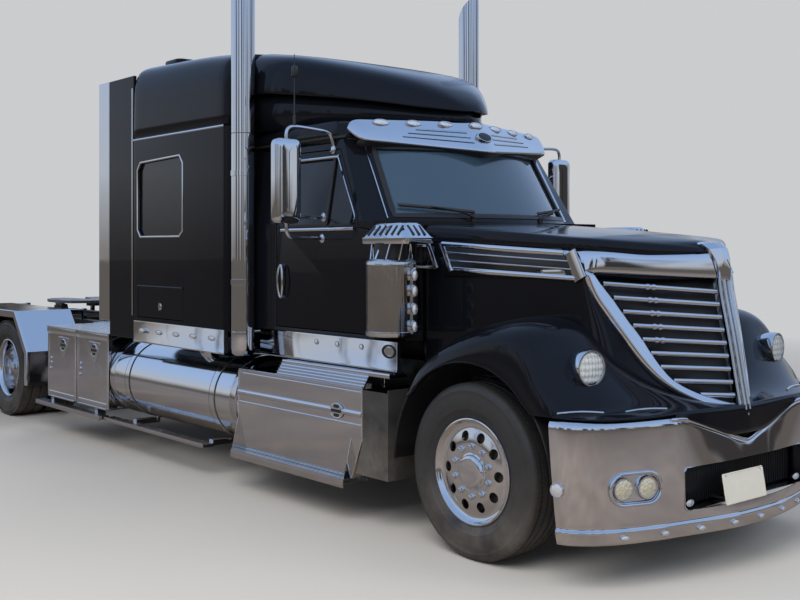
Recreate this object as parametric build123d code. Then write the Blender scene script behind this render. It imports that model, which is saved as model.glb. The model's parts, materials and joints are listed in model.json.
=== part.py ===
from build123d import *
import math
import os

# Highway tractor with a long sleeper, in millimetres. The layout values are measured from the front
# axle, +X forward and +Y to the driver's side; shift_x at the end puts the origin under the middle.

# Wheels and axles
tyre_radius = 505
tyre_width = 294
rim_radius = 298
rim_width = 240
front_tyre_y = 1025
dual_spacing = 343
outer_tyre_y = 1070
wheelbase = 7060
tandem_spacing = 1320
kingpin_y = 900
kingpin_radius = 24
spindle_radius = 35
rear_spindle_radius = 60
running_fit = 0.05
steer_arm_length = 180
hub_z = tyre_radius
drive_axles = (-wheelbase, -wheelbase - tandem_spacing)
rear_overhang = 770

# Frame
rail_top = 990
rail_depth = 268
rail_flange = 89
rail_web = 10
rail_outer = 432
rail_front = 740
rail_rear = drive_axles[1] - rear_overhang
rail_bottom = rail_top - rail_depth

# Body
body_half = 1220
cab_half = 1060
cab_floor = 1180
cab_front = -760
cab_rear = -2560
cab_wall = 50
cowl_top = 1950
cab_top = 2520
cowl_half = 850
door_front = -985
door_rear = -2120
door_gap = 6
sleeper_rear = -4100
sleeper_floor = 1150
sleeper_top = 2690
sleeper_wall = 40
roof_wall = 20
glass_inset = 20
glass_thickness = 8
glass_gap = 0.3
extender_rear = -4570
extender_trim_rear = -4780

# Hood
hood_rear = -740
hood_wall = 12
hood_pivot = (1040, 720)
hood_pin_radius = 12
fender_half = 1205
apron_edge = 905
lamp_centre = (625, 884, 1134)
lamp_radius = 99

# Front bumper
bumper_bottom = 250
bumper_top = 880
bumper_wall = 8
bumper_half = 1218
notch_half = 550
notch_bottom = 695

# Fuel tanks, boxes and steps
tank_radius = 330
tank_y = 870
tank_z = 630
tank_front = -2450
tank_rear = -4580
step_front = -960
step_rear = -2440
step_top = 880
box_front = -4590
box_split = -5290
box_rear = -5980
box_top = 1010
box_bottom = 330
box_outer = 1200
box_inner = 560
box_wall = 6
box_door = 25

# Stacks
stack_x = -2430
stack_y = 1152
stack_radius = 89
stack_bottom = 980
stack_top = 3960
stack_slash = 210

# Fifth wheel
fifth_x = drive_axles[0] - 490
fifth_top = 1180
fifth_pin_z = 1105
fifth_pin_radius = 25
kingpin_bore = 25.9

# Rear fenders
fender_clear = 105
fender_top = hub_z + tyre_radius + fender_clear
fender_inner = 600
fender_sheet = 5


def block(x0, x1, y0, y1, z0, z1):
    centre = Pos((x0 + x1) / 2, (y0 + y1) / 2, (z0 + z1) / 2)
    return centre * Box(abs(x1 - x0), abs(y1 - y0), abs(z1 - z0))


def side_prism(points, y0, y1):
    # points are (x, z), pushed across the truck from y0 to y1
    face = Plane.XZ * Polygon(*points, align=None)
    return Pos(0, max(y0, y1), 0) * extrude(face, abs(y1 - y0), dir=(0, -1, 0))


def front_prism(points, x0, x1):
    # points are (y, z), pushed along the truck from x0 to x1
    face = Plane.YZ * Polygon(*points, align=None)
    return Pos(min(x0, x1), 0, 0) * extrude(face, abs(x1 - x0), dir=(1, 0, 0))


def plan_prism(points, z0, z1):
    # points are (x, y), pushed up from z0 to z1
    return Pos(0, 0, z0) * extrude(Polygon(*points, align=None), z1 - z0, dir=(0, 0, 1))


def rod(start, end, radius):
    path = Vector(*end) - Vector(*start)
    plane = Plane(origin=start, z_dir=path)
    return extrude(plane * Circle(radius), path.length)


def both_sides(shape):
    return [shape, mirror(shape, about=Plane.XZ)]


def join(shapes):
    whole = shapes[0]
    for shape in shapes[1:]:
        whole = whole + shape
    return whole


nodes = {}


# Frame rails with their crossmembers
crossmember_x = (-2200, -3400, -4650, -5900, (drive_axles[0] + drive_axles[1]) / 2)
crossmember_half = 60
crossmember_bottom = 850
crossmember_top = 965
front_member = (640, 735, 850)
hinge_bar_inner = 165
hinge_bar_outer = 195
hinge_pin_inner = 100

rail = block(rail_rear, rail_front, rail_outer - rail_web, rail_outer, rail_bottom, rail_top)
for flange_bottom in (rail_bottom, rail_top - rail_web):
    flange_inner = rail_outer - rail_flange
    rail += block(rail_rear, rail_front, flange_inner, rail_outer, flange_bottom, flange_bottom + rail_web)
rails = both_sides(rail)
web_inner = rail_outer - rail_web
for x in crossmember_x:
    ends = (x - crossmember_half, x + crossmember_half)
    rails.append(block(*ends, -web_inner, web_inner, crossmember_bottom, crossmember_top))
member_rear, member_low, member_high = front_member
rails.append(block(member_rear, rail_front, -web_inner, web_inner, member_low, member_high))
end_plate = block(rail_rear, rail_rear + 20, -web_inner, web_inner, rail_bottom, rail_top)
tow_holes = ((200, 60), (200, -60), (-200, 60), (-200, -60))
tow_hole_radius = 11
tow_hole_z = (rail_top + rail_bottom) / 2
for y, z in tow_holes:
    start = (rail_rear - 10, y, tow_hole_z + z)
    end_plate -= rod(start, (rail_rear + 30, y, tow_hole_z + z), tow_hole_radius)
rails.append(end_plate)
pivot_x, pivot_z = hood_pivot
for side in (-1, 1):
    inner = side * hinge_bar_inner
    outer = side * hinge_bar_outer
    bar = [(rail_front, member_low + 10), (rail_front, member_low + 65), (pivot_x + 20, pivot_z + 22),
           (pivot_x + 20, pivot_z - 22), (pivot_x - 40, pivot_z - 22)]
    rails.append(side_prism(bar, inner, outer))
    pin_start = (pivot_x, side * hinge_pin_inner, pivot_z)
    rails.append(rod(pin_start, (pivot_x, inner, pivot_z), hood_pin_radius))
# mounts under the cab and the sleeper, on top of the rails
for x, top in ((-1150, cab_floor), (-2230, cab_floor), (-2750, sleeper_floor), (-3900, sleeper_floor)):
    rails += both_sides(block(x - 60, x + 60, rail_outer - 70, rail_outer, rail_top, top))
nodes["frame_rails"] = join(rails)


# Front axle: a dropped beam with a kingpin at each end
beam_half_x = 50
boss_radius = 45
boss_half = 80
beam_low = hub_z - 165
beam_high = hub_z - 65
boss_inner = hub_z - 50
beam = front_prism([(0, beam_low), (560, beam_low), (760, beam_high), (kingpin_y, boss_inner),
                    (kingpin_y, hub_z + 50), (740, hub_z + 50), (560, beam_high), (0, beam_high)],
                   -beam_half_x, beam_half_x)
boss = rod((0, kingpin_y, hub_z - boss_half), (0, kingpin_y, hub_z + boss_half), boss_radius)
pin = rod((0, kingpin_y, hub_z - 135), (0, kingpin_y, hub_z + 135), kingpin_radius)
half_axle = beam + boss + pin

# Front leaf springs, one under each rail, clamped on the axle beam
spring_y = 388
spring_half = 40
spring_bottom = beam_high
spring_leaves = ((700, 60), (560, 60), (420, 60))
spring = block(-130, 130, spring_y - spring_half, spring_y + spring_half, spring_bottom, spring_bottom + 20)
leaf_top = spring_bottom + 20
for reach, rise in reversed(spring_leaves):
    leaf = side_prism([(-reach, leaf_top + rise), (0, leaf_top), (reach, leaf_top + rise),
                       (reach, leaf_top + rise + 18), (0, leaf_top + 18), (-reach, leaf_top + rise + 18)],
                      spring_y - spring_half, spring_y + spring_half)
    spring += leaf
    leaf_top += 18
for x in (-700, 640):
    spring += block(x, x + 60, spring_y - spring_half, spring_y + spring_half, leaf_top + 55, rail_bottom)
nodes["front_axle"] = join(both_sides(half_axle + spring))

# Steering knuckles: a fork over the kingpin, the wheel spindle and the steering arm
ear_gap = 1
ear_height = 40
ear_radius = 48
fork_inner = kingpin_y + boss_radius + 8
fork_outer = fork_inner + 40
spindle_end = 1125
arm_z = hub_z - boss_half - ear_gap - ear_height
arm_thickness = 30
ball_radius = 14
knuckle = block(-55, 55, fork_inner, fork_outer, arm_z, hub_z + boss_half + ear_gap + ear_height)
for bottom in (arm_z, hub_z + boss_half + ear_gap):
    ear = rod((0, kingpin_y, bottom), (0, kingpin_y, bottom + ear_height), ear_radius)
    ear += block(-45, 45, kingpin_y, fork_outer, bottom, bottom + ear_height)
    knuckle += ear
for bottom in (arm_z - 5, hub_z + boss_half - 5):
    knuckle -= rod((0, kingpin_y, bottom), (0, kingpin_y, bottom + 60), kingpin_radius + running_fit)
knuckle += rod((0, fork_outer, hub_z), (0, spindle_end, hub_z), spindle_radius)
knuckle += block(-steer_arm_length, -30, kingpin_y - 22, kingpin_y + 22, arm_z, arm_z + arm_thickness)
arm_end = (-steer_arm_length, kingpin_y, arm_z)
knuckle += rod(arm_end, (-steer_arm_length, kingpin_y, arm_z + arm_thickness), 22)
knuckle += rod((-steer_arm_length, kingpin_y, arm_z - 44), arm_end, ball_radius)
knuckle -= rod((0, kingpin_y, arm_z - 5), (0, kingpin_y, arm_z + 60), kingpin_radius + running_fit)
nodes["knuckle_left"] = knuckle
nodes["knuckle_right"] = mirror(knuckle, about=Plane.XZ)

# Tie rod between the two steering arms
tie_z = arm_z - 24
tie_bar = rod((-steer_arm_length, -kingpin_y, tie_z), (-steer_arm_length, kingpin_y, tie_z), 17)
for side in (-1, 1):
    eye_start = (-steer_arm_length, side * kingpin_y, tie_z - 20)
    eye_end = (-steer_arm_length, side * kingpin_y, tie_z + 20)
    tie_bar += rod(eye_start, eye_end, 26)
for side in (-1, 1):
    hole_start = (-steer_arm_length, side * kingpin_y, tie_z - 30)
    hole_end = (-steer_arm_length, side * kingpin_y, tie_z + 30)
    tie_bar -= rod(hole_start, hole_end, ball_radius + running_fit)
nodes["tie_rod"] = tie_bar


# Wheels, turned about the axle. Each profile row is (across from the tyre's middle, radius).

tyre_half = tyre_width / 2
bead_radius = rim_radius - 10
tyre_side = [(105, bead_radius), (tyre_half - 7, rim_radius + 32), (tyre_half, tyre_radius - 105),
             (tyre_half - 9, tyre_radius - 45), (tyre_half - 35, tyre_radius - 8),
             (tyre_half - 77, tyre_radius)]
tyre_profile = [(-across, radius) for across, radius in tyre_side] + tyre_side[::-1]
hand_holes = 10
hand_hole_radius = 30
hand_hole_circle = 205


def turned(profile, y):
    # profile rows are (along the axle, radius)
    face = Polygon(*[(radius, y + along) for along, radius in profile], align=None)
    return revolve(face, Axis.Y)


def at_axle(shape, x):
    return Pos(x, 0, hub_z) * shape


front_rim = [(-120, 285), (-120, rim_radius), (-105, rim_radius), (-105, 285), (105, 285), (105, rim_radius),
             (120, rim_radius), (120, 285), (110, 268), (96, 250), (92, 120), (112, 110), (112, 0), (98, 0),
             (98, 60), (-24, 60), (-24, 120), (60, 140), (72, 250), (60, 266), (-110, 268)]
front_wheel = turned(tyre_profile, front_tyre_y) + turned(front_rim, front_tyre_y)
front_wheel -= turned([(-70, 0), (108 - 4, 0), (108 - 4, spindle_radius + running_fit),
                       (-70, spindle_radius + running_fit)], front_tyre_y)
for index in range(hand_holes):
    angle = 2 * math.pi * index / hand_holes
    hole_x = hand_hole_circle * math.sin(angle)
    hole_z = hand_hole_circle * math.cos(angle)
    hole_start = (hole_x, front_tyre_y + 30, hole_z)
    front_wheel -= rod(hole_start, (hole_x, front_tyre_y + 130, hole_z), hand_hole_radius)
nodes["front_wheel_left"] = at_axle(front_wheel, 0)
nodes["front_wheel_right"] = mirror(at_axle(front_wheel, 0), about=Plane.XZ)

# Twin drive wheels: two tyres and rims on one hub and drum
inner_tyre_y = outer_tyre_y - dual_spacing
mount_y = (outer_tyre_y + inner_tyre_y) / 2
rear_bore = rear_spindle_radius + running_fit
outer_rim = [(-120, 268), (-120, rim_radius), (-105, rim_radius), (-105, 285), (105, 285), (105, rim_radius),
             (120, rim_radius), (120, 268)]
dual_hub = [(-230, rear_bore), (-230, 215), (-60, 215), (-60, 160), (-24, 160), (-24, 272), (24, 272),
            (24, 150), (70, 130), (110, 110), (110, 85), (165, 80), (165, 0), (120, 0), (120, rear_bore)]
dual = turned(dual_hub, mount_y)
for y in (outer_tyre_y, inner_tyre_y):
    dual += turned(tyre_profile, y) + turned(outer_rim, y)
dual += turned([(-70, 268), (-70, 285), (70, 285), (70, 268)], mount_y)
for index in range(hand_holes):
    angle = 2 * math.pi * index / hand_holes
    hole_x = hand_hole_circle * math.sin(angle)
    hole_z = hand_hole_circle * math.cos(angle)
    dual -= rod((hole_x, mount_y - 55, hole_z), (hole_x, mount_y + 55, hole_z), hand_hole_radius)
for place, x in zip(("front", "rear"), drive_axles):
    nodes[f"drive_wheels_{place}_left"] = at_axle(dual, x)
    nodes[f"drive_wheels_{place}_right"] = mirror(at_axle(dual, x), about=Plane.XZ)

# Drive axles: tube, differential and spindles
tube_radius = 70
tube_end = 600
diff_radius = 210
diff_half = 170
pinion_radius = 85
pinion_reach = 400
seat_y = 482
seat_half = 38
seat_bottom = hub_z - 95
axle_shapes = []
for x in drive_axles:
    axle = rod((x, -tube_end, hub_z), (x, tube_end, hub_z), tube_radius)
    axle += rod((x, -mount_y - 100, hub_z), (x, mount_y + 100, hub_z), rear_spindle_radius)
    bulge = turned([(-diff_half, 80), (-90, diff_radius), (90, diff_radius), (diff_half, 80), (diff_half, 0),
                    (-diff_half, 0)], 0)
    axle += at_axle(bulge, x)
    axle += rod((x, 0, hub_z + 60), (x + pinion_reach, 0, hub_z + 60), pinion_radius)
    for side in (-1, 1):
        seat_ends = (side * seat_y - seat_half, side * seat_y + seat_half)
        axle += block(x - 60, x + 60, *seat_ends, seat_bottom, hub_z)
    axle_shapes.append(axle)
nodes["drive_axles"] = axle_shapes[0] + axle_shapes[1]

# Rear suspension: hanger, trailing beam and air spring for each wheel end
beam_height = 70
bag_radius = 105
bag_x = -440
bag_y = 400
suspension = []
for x in drive_axles:
    for side in (-1, 1):
        inner = side * (seat_y - seat_half)
        outer = side * (seat_y + seat_half)
        arm = side_prism([(x + 560, hub_z + 55), (x + 620, hub_z + 55), (x + 620, hub_z - 5),
                          (x + 100, seat_bottom - beam_height), (x - 550, seat_bottom - beam_height),
                          (x - 550, seat_bottom), (x + 60, seat_bottom)], inner, outer)
        hanger = block(x + 540, x + 640, side * rail_outer, outer, hub_z - 25, rail_bottom + 180)
        saddle = block(x - 550, x - 330, side * 300, outer, seat_bottom - 20, seat_bottom)
        bag = rod((x + bag_x, side * bag_y, seat_bottom), (x + bag_x, side * bag_y, rail_bottom), bag_radius)
        suspension.append(arm + hanger + saddle + bag)
nodes["rear_suspension"] = join(suspension)

# Drive shafts
gearbox_rear = -1900
gearbox_shaft_z = 760
shaft_radius = 55
pinion_x = drive_axles[0] + pinion_reach
shaft_z = hub_z + 60
main_shaft = rod((gearbox_rear, 0, gearbox_shaft_z), (pinion_x, 0, shaft_z), shaft_radius)
main_shaft = main_shaft & block(pinion_x, gearbox_rear, -200, 200, 400, 1000)
rear_face = drive_axles[0] - diff_radius - 1
short_shaft = rod((drive_axles[1] + pinion_reach, 0, shaft_z), (rear_face, 0, shaft_z), shaft_radius)
nodes["drive_shafts"] = main_shaft + short_shaft

# Engine and gearbox as one plain block
engine_front = 240
engine_rear = -1000
engine = block(engine_rear, engine_front, -330, 330, 600, rail_top)
engine += block(engine_rear, engine_front, -400, 400, rail_top, 1550)
engine += block(gearbox_rear, engine_rear, -220, 220, 660, 1100)
nodes["engine_block"] = engine

# Radiator with its side frames on the rails
radiator = block(300, 420, -420, 420, rail_top, 1600)
radiator += block(290, 430, -330, 330, 800, rail_top)
nodes["radiator"] = radiator


# Bumper: one outline in plan, open behind, with a V notch in its top edge
bumper_rear = 625
# plan of the front, from the prow to the corner: x, y
bumper_plan = ((1120, 0), (1036, 580), (955, 915), (852, 1120), (bumper_rear, bumper_half))
prow_slope = (bumper_plan[0][0] - bumper_plan[1][0]) / bumper_plan[1][1]
bracket_inner = 355
bracket_outer = 430
drive_lamp_y = (810, 990)
drive_lamp_z = 535
drive_lamp_hole = 62
lamp_seat_gap = 0.3


def bumper_face(inset):
    right = [(x, -y) for x, y in bumper_plan]
    left = [(x, y) for x, y in reversed(bumper_plan[1:])]
    face = Polygon(*left, *right, align=None)
    if inset:
        face = offset(face, -inset, kind=Kind.INTERSECTION)
    return face


shell = Pos(0, 0, bumper_bottom) * extrude(bumper_face(0), bumper_top - bumper_bottom, dir=(0, 0, 1))
hollow = Pos(0, 0, bumper_bottom + bumper_wall) * extrude(bumper_face(bumper_wall), bumper_top, dir=(0, 0, 1))
lip_hole = Pos(0, 0, bumper_bottom - 10) * extrude(bumper_face(70), 50, dir=(0, 0, 1))
bumper = shell - hollow - lip_hole
for depth, margin in ((bumper_wall + 62, 78), (bumper_wall + 2, 18)):
    open_half = bumper_half - margin
    bumper -= block(bumper_rear - 10, bumper_rear + depth, -open_half, open_half, 0, bumper_top + 10)
bumper -= front_prism([(-notch_half, bumper_top), (0, notch_bottom), (notch_half, bumper_top),
                       (notch_half, bumper_top + 50), (-notch_half, bumper_top + 50)], 600, 1200)
bumper -= block(900, 1200, -500, 500, 385, 600)
for side in (-1, 1):
    for y in drive_lamp_y:
        bumper -= rod((700, side * y, drive_lamp_z), (1100, side * y, drive_lamp_z), drive_lamp_hole)
    bracket = [(rail_front, side * bracket_outer), (rail_front, side * bracket_inner)]
    for y in (bracket_inner, bracket_outer):
        bracket.append((bumper_plan[0][0] - 5 - prow_slope * y, side * y))
    bumper += plan_prism(bracket, 640, 800)
nodes["bumper"] = bumper

# Twin driving lamps in the bumper
lamp_solids = []
lamp_depth = 60
lens_layer = Pos(0, 0, 400) * extrude(bumper_face(1), 300, dir=(0, 0, 1))
lens_layer -= Pos(0, 0, 390) * extrude(bumper_face(lamp_depth), 320, dir=(0, 0, 1))
for side in (-1, 1):
    for y in drive_lamp_y:
        bowl_radius = drive_lamp_hole - lamp_seat_gap
        bowl = rod((800, side * y, drive_lamp_z), (1100, side * y, drive_lamp_z), bowl_radius)
        lamp_solids += (bowl & lens_layer).solids()
nodes["bumper_lamps"] = join(lamp_solids)

# Hood: the narrow engine cover with its V nose, the two fenders and the apron between them.
# side profile of the cover's top, from the cowl to the nose: x, z
hood_line = ((hood_rear, 1955), (0, 1900), (450, 1860), (730, 1822), (850, 1800), (885, 1760))
nose_line = ((880, 1574), (948, 1252), (985, 1050), (1004, 790))
shoulder_half = 700
nose_slope = 0.61


def nose_volume(inset):
    top = [(x, z - inset) for x, z in hood_line]
    front = [(x - inset, z) for x, z in nose_line]
    low = [(500, 1140), (200, 1240), (-100, 1240), (-300, 1130), (-400, 1000), (hood_rear, 1000)]
    low = [(x, z - 2 * inset) for x, z in low]
    profile = top + front + [(1004 - inset, 790 - 2 * inset), (900, 790 - 2 * inset)] + low
    if inset:
        profile = [(hood_rear - 20, 1955 - inset)] + profile + [(hood_rear - 20, 1000 - 2 * inset)]
    body = side_prism(profile, -900, 900)
    cowl_y = cowl_half - inset
    corner_y = shoulder_half - inset
    corner_x = 480 - inset
    prow_x = 1004 + 0.02 * inset
    plan = [(hood_rear - 30, cowl_y), (corner_x, corner_y), (corner_x + 40, corner_y - 45)]
    plan += [(corner_x + 40 + nose_slope * (corner_y - 45), 0)]
    plan += [(x, -y) for x, y in reversed(plan[:-1])]
    reach = plan_prism([(x + 120, y) if -corner_y < y < corner_y else (x, y) for x, y in plan], 600, 2100)
    crown_side = [(900, 700), (900, 1600), (870 - inset, 1840), (820 - inset, 1900 - inset),
                  (600, 1940 - inset)]
    crown_rows = crown_side + [(0, 1962 - inset)] + [(-y, z) for y, z in reversed(crown_side)]
    return body & reach & front_prism(crown_rows, -900, 1200)


# side profile of a fender: x, z
fender_line = ((-620, 925), (-510, 1070), (-360, 1200), (-80, 1325), (200, 1393), (380, 1388), (480, 1345),
               (560, 1255), (625, 1150), (740, 1020), (860, 950), (960, apron_edge))


def fender_volume(inset):
    face = Plane.XZ * Polygon(*fender_line, (-620, apron_edge - 1), align=None)
    if inset:
        face = offset(face, -inset, kind=Kind.INTERSECTION)
    body = Pos(0, fender_half, 0) * extrude(face, fender_half - 690 + 3 * inset, dir=(0, -1, 0))
    if inset:
        low_end = apron_edge + 2 * inset
        body += block(-620 + inset, 940, 690 - 3 * inset, fender_half, apron_edge - 60, low_end)
    plan = [(-700, 500), (-700, fender_half), (bumper_rear - 20, fender_half), (840, 1108), (942, 905),
            (1020, 578), (1026, 500)]
    plan_face = Polygon(*plan, align=None)
    if inset:
        plan_face = offset(plan_face, -inset, kind=Kind.INTERSECTION)
    return body & (Pos(0, 0, 700) * extrude(plan_face, 900, dir=(0, 0, 1)))


arch_radius = tyre_radius + fender_clear
fender = fender_volume(0) - fender_volume(hood_wall)
fender -= rod((0, 1000, hub_z), (0, 1300, hub_z), arch_radius)
fender -= block(-600, 560, 600, 1300, 800, apron_edge)
arm_inner = 120
arm_outer = 150
apron_low = apron_edge - 5
apron = side_prism([(480, 1180), (560, 1180), (985, 918), (985, apron_low), (940, apron_low), (480, 1165)],
                   -760, 760)
apron_plan = [(400, -800), (940, -800), (1004, -500), (1010, 0), (1004, 500), (940, 800), (400, 800)]
apron = apron & plan_prism(apron_plan, 800, 1300)
cover = nose_volume(0) - nose_volume(hood_wall)
# grille opening in the V nose: y, z
grille_half = 640
grille_top = 1640
grille_low = 870
opening = [(-grille_half, grille_top), (-grille_half + 5, grille_top - 40), (-150, grille_low + 55),
           (0, grille_low), (150, grille_low + 55), (grille_half - 5, grille_top - 40),
           (grille_half, grille_top)]
cover -= front_prism(opening, 430, 1100)
cover -= front_prism([(-900, 600), (900, 600), (900, 1000), (notch_half, 905), (0, 800), (-notch_half, 905),
                      (-900, 1000)], 500, 1100)
apron -= nose_volume(hood_wall / 2)
hood_parts = [cover, fender, mirror(fender, about=Plane.XZ)]
for side in (-1, 1):
    arm = side_prism([(840, 905), (890, 905), (pivot_x + 26, pivot_z + 10), (pivot_x + 26, pivot_z - 26),
                      (pivot_x - 26, pivot_z - 26), (840, 860)], side * arm_inner, side * arm_outer)
    hole_end = (pivot_x, side * (arm_outer + 5), pivot_z)
    arm -= rod((pivot_x, side * (arm_inner - 5), pivot_z), hole_end, hood_pin_radius + running_fit)
    hood_parts.append(arm)
hood = join(hood_parts) + apron
nodes["hood"] = hood


# Grille: surround, centre spine and bars in the V nose
grille_gap = 0.3
bar_count = 9
bar_height = 24
grille_depth = 34


def grille_slab(back, front):
    # a V plate parallel to the nose panels, leaning with the prow: plan at each end of its height
    levels = []
    for z, prow in ((760, 1006), (1700, 889)):
        points = []
        for side, shift in ((-1, front), (1, front), (1, back), (-1, back)):
            y = side * 720
            points.append((prow - shift - nose_slope * 720, y))
        plan = [points[0], (prow - front, 0), points[1], points[2], (prow - back, 0), points[3]]
        levels.append(Wire.make_polygon([(x, y, z) for x, y in plan], close=True))
    return Solid.make_loft(levels, ruled=True)


def grille_shape(margin):
    rows = [(-grille_half + margin, grille_top - margin), (-grille_half + 5 + margin, grille_top - 40),
            (-150, grille_low + 55 + margin * 1.2), (0, grille_low + margin * 1.1),
            (150, grille_low + 55 + margin * 1.2), (grille_half - 5 - margin, grille_top - 40),
            (grille_half - margin, grille_top - margin)]
    return front_prism(rows, 300, 1200)


slab = grille_slab(grille_depth, 0)
surround = slab & (grille_shape(grille_gap) - grille_shape(28))
spine = slab & block(300, 1200, -22, 22, grille_low, grille_top) & grille_shape(grille_gap)
bars = []
bar_pitch = (grille_top - grille_low - 90) / bar_count
for index in range(bar_count):
    low = grille_low + 95 + bar_pitch * index
    bars.append(block(300, 1200, -700, 700, low, low + bar_height))
bar_set = grille_slab(grille_depth - 8, 6) & join(bars) & grille_shape(20)
nodes["grille"] = surround + spine + bar_set

# Headlamps in the fronts of the fenders
lamp_x, lamp_y, lamp_z = lamp_centre
lamp_back = lamp_x - 90
pods = []
for side in (-1, 1):
    pod = rod((lamp_back, side * lamp_y, lamp_z), (lamp_x + 12, side * lamp_y, lamp_z), lamp_radius)
    pods.append(pod)
    seat_end = (lamp_x + 200, side * lamp_y, lamp_z)
    nodes["hood"] -= rod((lamp_back, side * lamp_y, lamp_z), seat_end, lamp_radius + glass_gap)
nodes["headlamps"] = pods[0] + pods[1]


# Cab: a lower body with chamfered front corners and a greenhouse round the curved windshield

def cab_plan(inset, front):
    left = [(front - inset, cowl_half - inset), (-970 - inset, cab_half - 10 - inset),
            (-1000, cab_half - inset), (cab_rear - 1, cab_half - inset)]
    return left + [(x, -y) for x, y in reversed(left)]


# greenhouse outlines: z, half width, corner x, glass corner x, glass corner y, glass middle x
greenhouse_rows = ((cowl_top - 10, 1055, -1120, -1075, 890, -775), (cab_top, 955, -1460, -1410, 850, -1140))


def greenhouse(inset):
    wires = []
    for z, half, corner_x, glass_x, glass_y, middle_x in greenhouse_rows:
        half = half - inset
        glass_y = glass_y - inset * 0.4
        left = (glass_x - inset, glass_y, z)
        right = (glass_x - inset, -glass_y, z)
        edges = [Edge.make_three_point_arc(left, (middle_x - inset, 0, z), right)]
        back_x = cab_rear - 1
        side_x = corner_x - inset * 0.6
        corners = [right, (side_x, -half, z), (back_x, -half, z), (back_x, half, z), (side_x, half, z), left]
        for start, end in zip(corners[:-1], corners[1:]):
            edges.append(Edge.make_line(start, end))
        wires.append(Wire(edges))
    return Solid.make_loft(wires, ruled=True)


recess = (-1060, cab_front + 1, 460, 1620)


def cab_volume(inset):
    low = cab_floor + 0.6 * inset
    lower = plan_prism(cab_plan(inset, cab_front), low, cowl_top - inset * 0.5)
    volume = lower + greenhouse(inset)
    if inset:
        top_half = cab_half - 110 - inset
        shelf_half = cab_half - 20 - inset
        volume += block(-2500, -1500, -top_half, top_half, cab_top - 100, cab_top + 60)
        volume += block(cab_rear - 1, -1150, -shelf_half, shelf_half, cowl_top - 60, cowl_top - 5)
    back, front, half, top = recess
    volume -= block(back - inset, front + 20, -half - inset, half + inset, cab_floor - 10, top + inset)
    return volume & block(cab_rear, 0, -1300, 1300, 1000, 2700)


# side outline of the door, x and z: slanted along the pillar at its front
door_outline = ((door_front, 1215), (door_front, 1885), (-1165, 1910), (-1200, 2010), (-1475, 2450),
                (door_rear + 20, 2450), (door_rear, 2400), (door_rear, 1215))
window_outline = ((-1230, 1925), (-1225, 1985), (-1490, 2385), (-2030, 2385), (-2030, 1925))


def outline_prism(outline, grow, side, half):
    # reaches through the side wall that stands at half
    face = Plane.XZ * Polygon(*outline, align=None)
    if grow:
        face = offset(face, grow, kind=Kind.INTERSECTION)
    return Pos(0, side * (half - 60) + 200, 0) * extrude(face, 400, dir=(0, -1, 0))


cab_outer = cab_volume(0)
door_layer = cab_outer - cab_volume(cab_wall)
glass_layer = cab_volume(glass_inset) - cab_volume(glass_inset + glass_thickness)
cab_shell = door_layer - block(cab_rear - 10, cab_rear + 70, -760, 760, cab_floor + 30, cab_top + 100)
shield_outline = [(-830, 1995), (830, 1995), (790, 2465), (-790, 2465)]
cab_shell -= front_prism(shield_outline, -1550, -700)
shield_small = []
for y, z in shield_outline:
    lift = glass_gap if z < 2200 else -glass_gap
    shield_small.append((y * (1 - glass_gap / 800), z + lift))
nodes["windshield"] = glass_layer & front_prism(shield_small, -1550, -700)
for side, name in ((-1, "right"), (1, "left")):
    cab_shell -= outline_prism(door_outline, door_gap, side, cab_half)
    door = door_layer & outline_prism(door_outline, 0, side, cab_half)
    door -= outline_prism(window_outline, 0, side, cab_half)
    nodes[f"cab_door_{name}"] = door
    pane = outline_prism(window_outline, -glass_gap, side, cab_half)
    nodes[f"door_glass_{name}"] = glass_layer & pane
# two hinges for each door, on the shell just ahead of the door's front edge
door_hinge_x = door_front + 4
door_hinge_y = cab_half + 8
door_hinge_radius = 13
door_hinge_height = 90
for z in (1330, 1720):
    barrel_low = (door_hinge_x, door_hinge_y, z)
    barrel_high = (door_hinge_x, door_hinge_y, z + door_hinge_height)
    door_hinge = rod(barrel_low, barrel_high, door_hinge_radius)
    leaf_front = door_front + 35
    door_hinge += block(door_front + 10, leaf_front, cab_half - 20, cab_half + 12, z, z + door_hinge_height)
    for hinge in both_sides(door_hinge):
        cab_shell += hinge
nodes["cab_shell"] = cab_shell

# Sleeper: floor, walls and an open top under the roof
window_frame = ((-3990, 1930), (-3990, 2430), (-3940, 2490), (-3270, 2510), (-3220, 2450), (-3220, 1910),
                (-3270, 1870), (-3940, 1870))
hatch_outline = ((-3985, 1200), (-3985, 1450), (-3215, 1450), (-3215, 1200))


def sleeper_volume(inset):
    half = body_half - inset
    rear = sleeper_rear + inset
    return block(rear, cab_rear - inset, -half, half, sleeper_floor + inset, sleeper_top + inset)


corner_radius = 45
doorway_half = 700
sleeper_box = sleeper_volume(0)
sleeper_box = fillet(sleeper_box.edges().filter_by(Axis.Z), corner_radius)
sleeper_layer = sleeper_box - sleeper_volume(sleeper_wall)
doorway_low = sleeper_floor + sleeper_wall + 30
sleeper_shell = sleeper_layer - block(cab_rear - 60, cab_rear + 10, -doorway_half, doorway_half, doorway_low,
                                      sleeper_top + 10)
sleeper_glass = sleeper_volume(glass_inset) - sleeper_volume(glass_inset + glass_thickness)
panes = []
for side, name in ((-1, "right"), (1, "left")):
    sleeper_shell -= outline_prism(window_frame, 0, side, body_half)
    sleeper_shell -= outline_prism(hatch_outline, door_gap, side, body_half)
    panes.append(sleeper_glass & outline_prism(window_frame, -glass_gap, side, body_half))
    hatch = outline_prism(hatch_outline, 0, side, body_half)
    nodes[f"luggage_door_{name}"] = sleeper_layer & hatch
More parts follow.
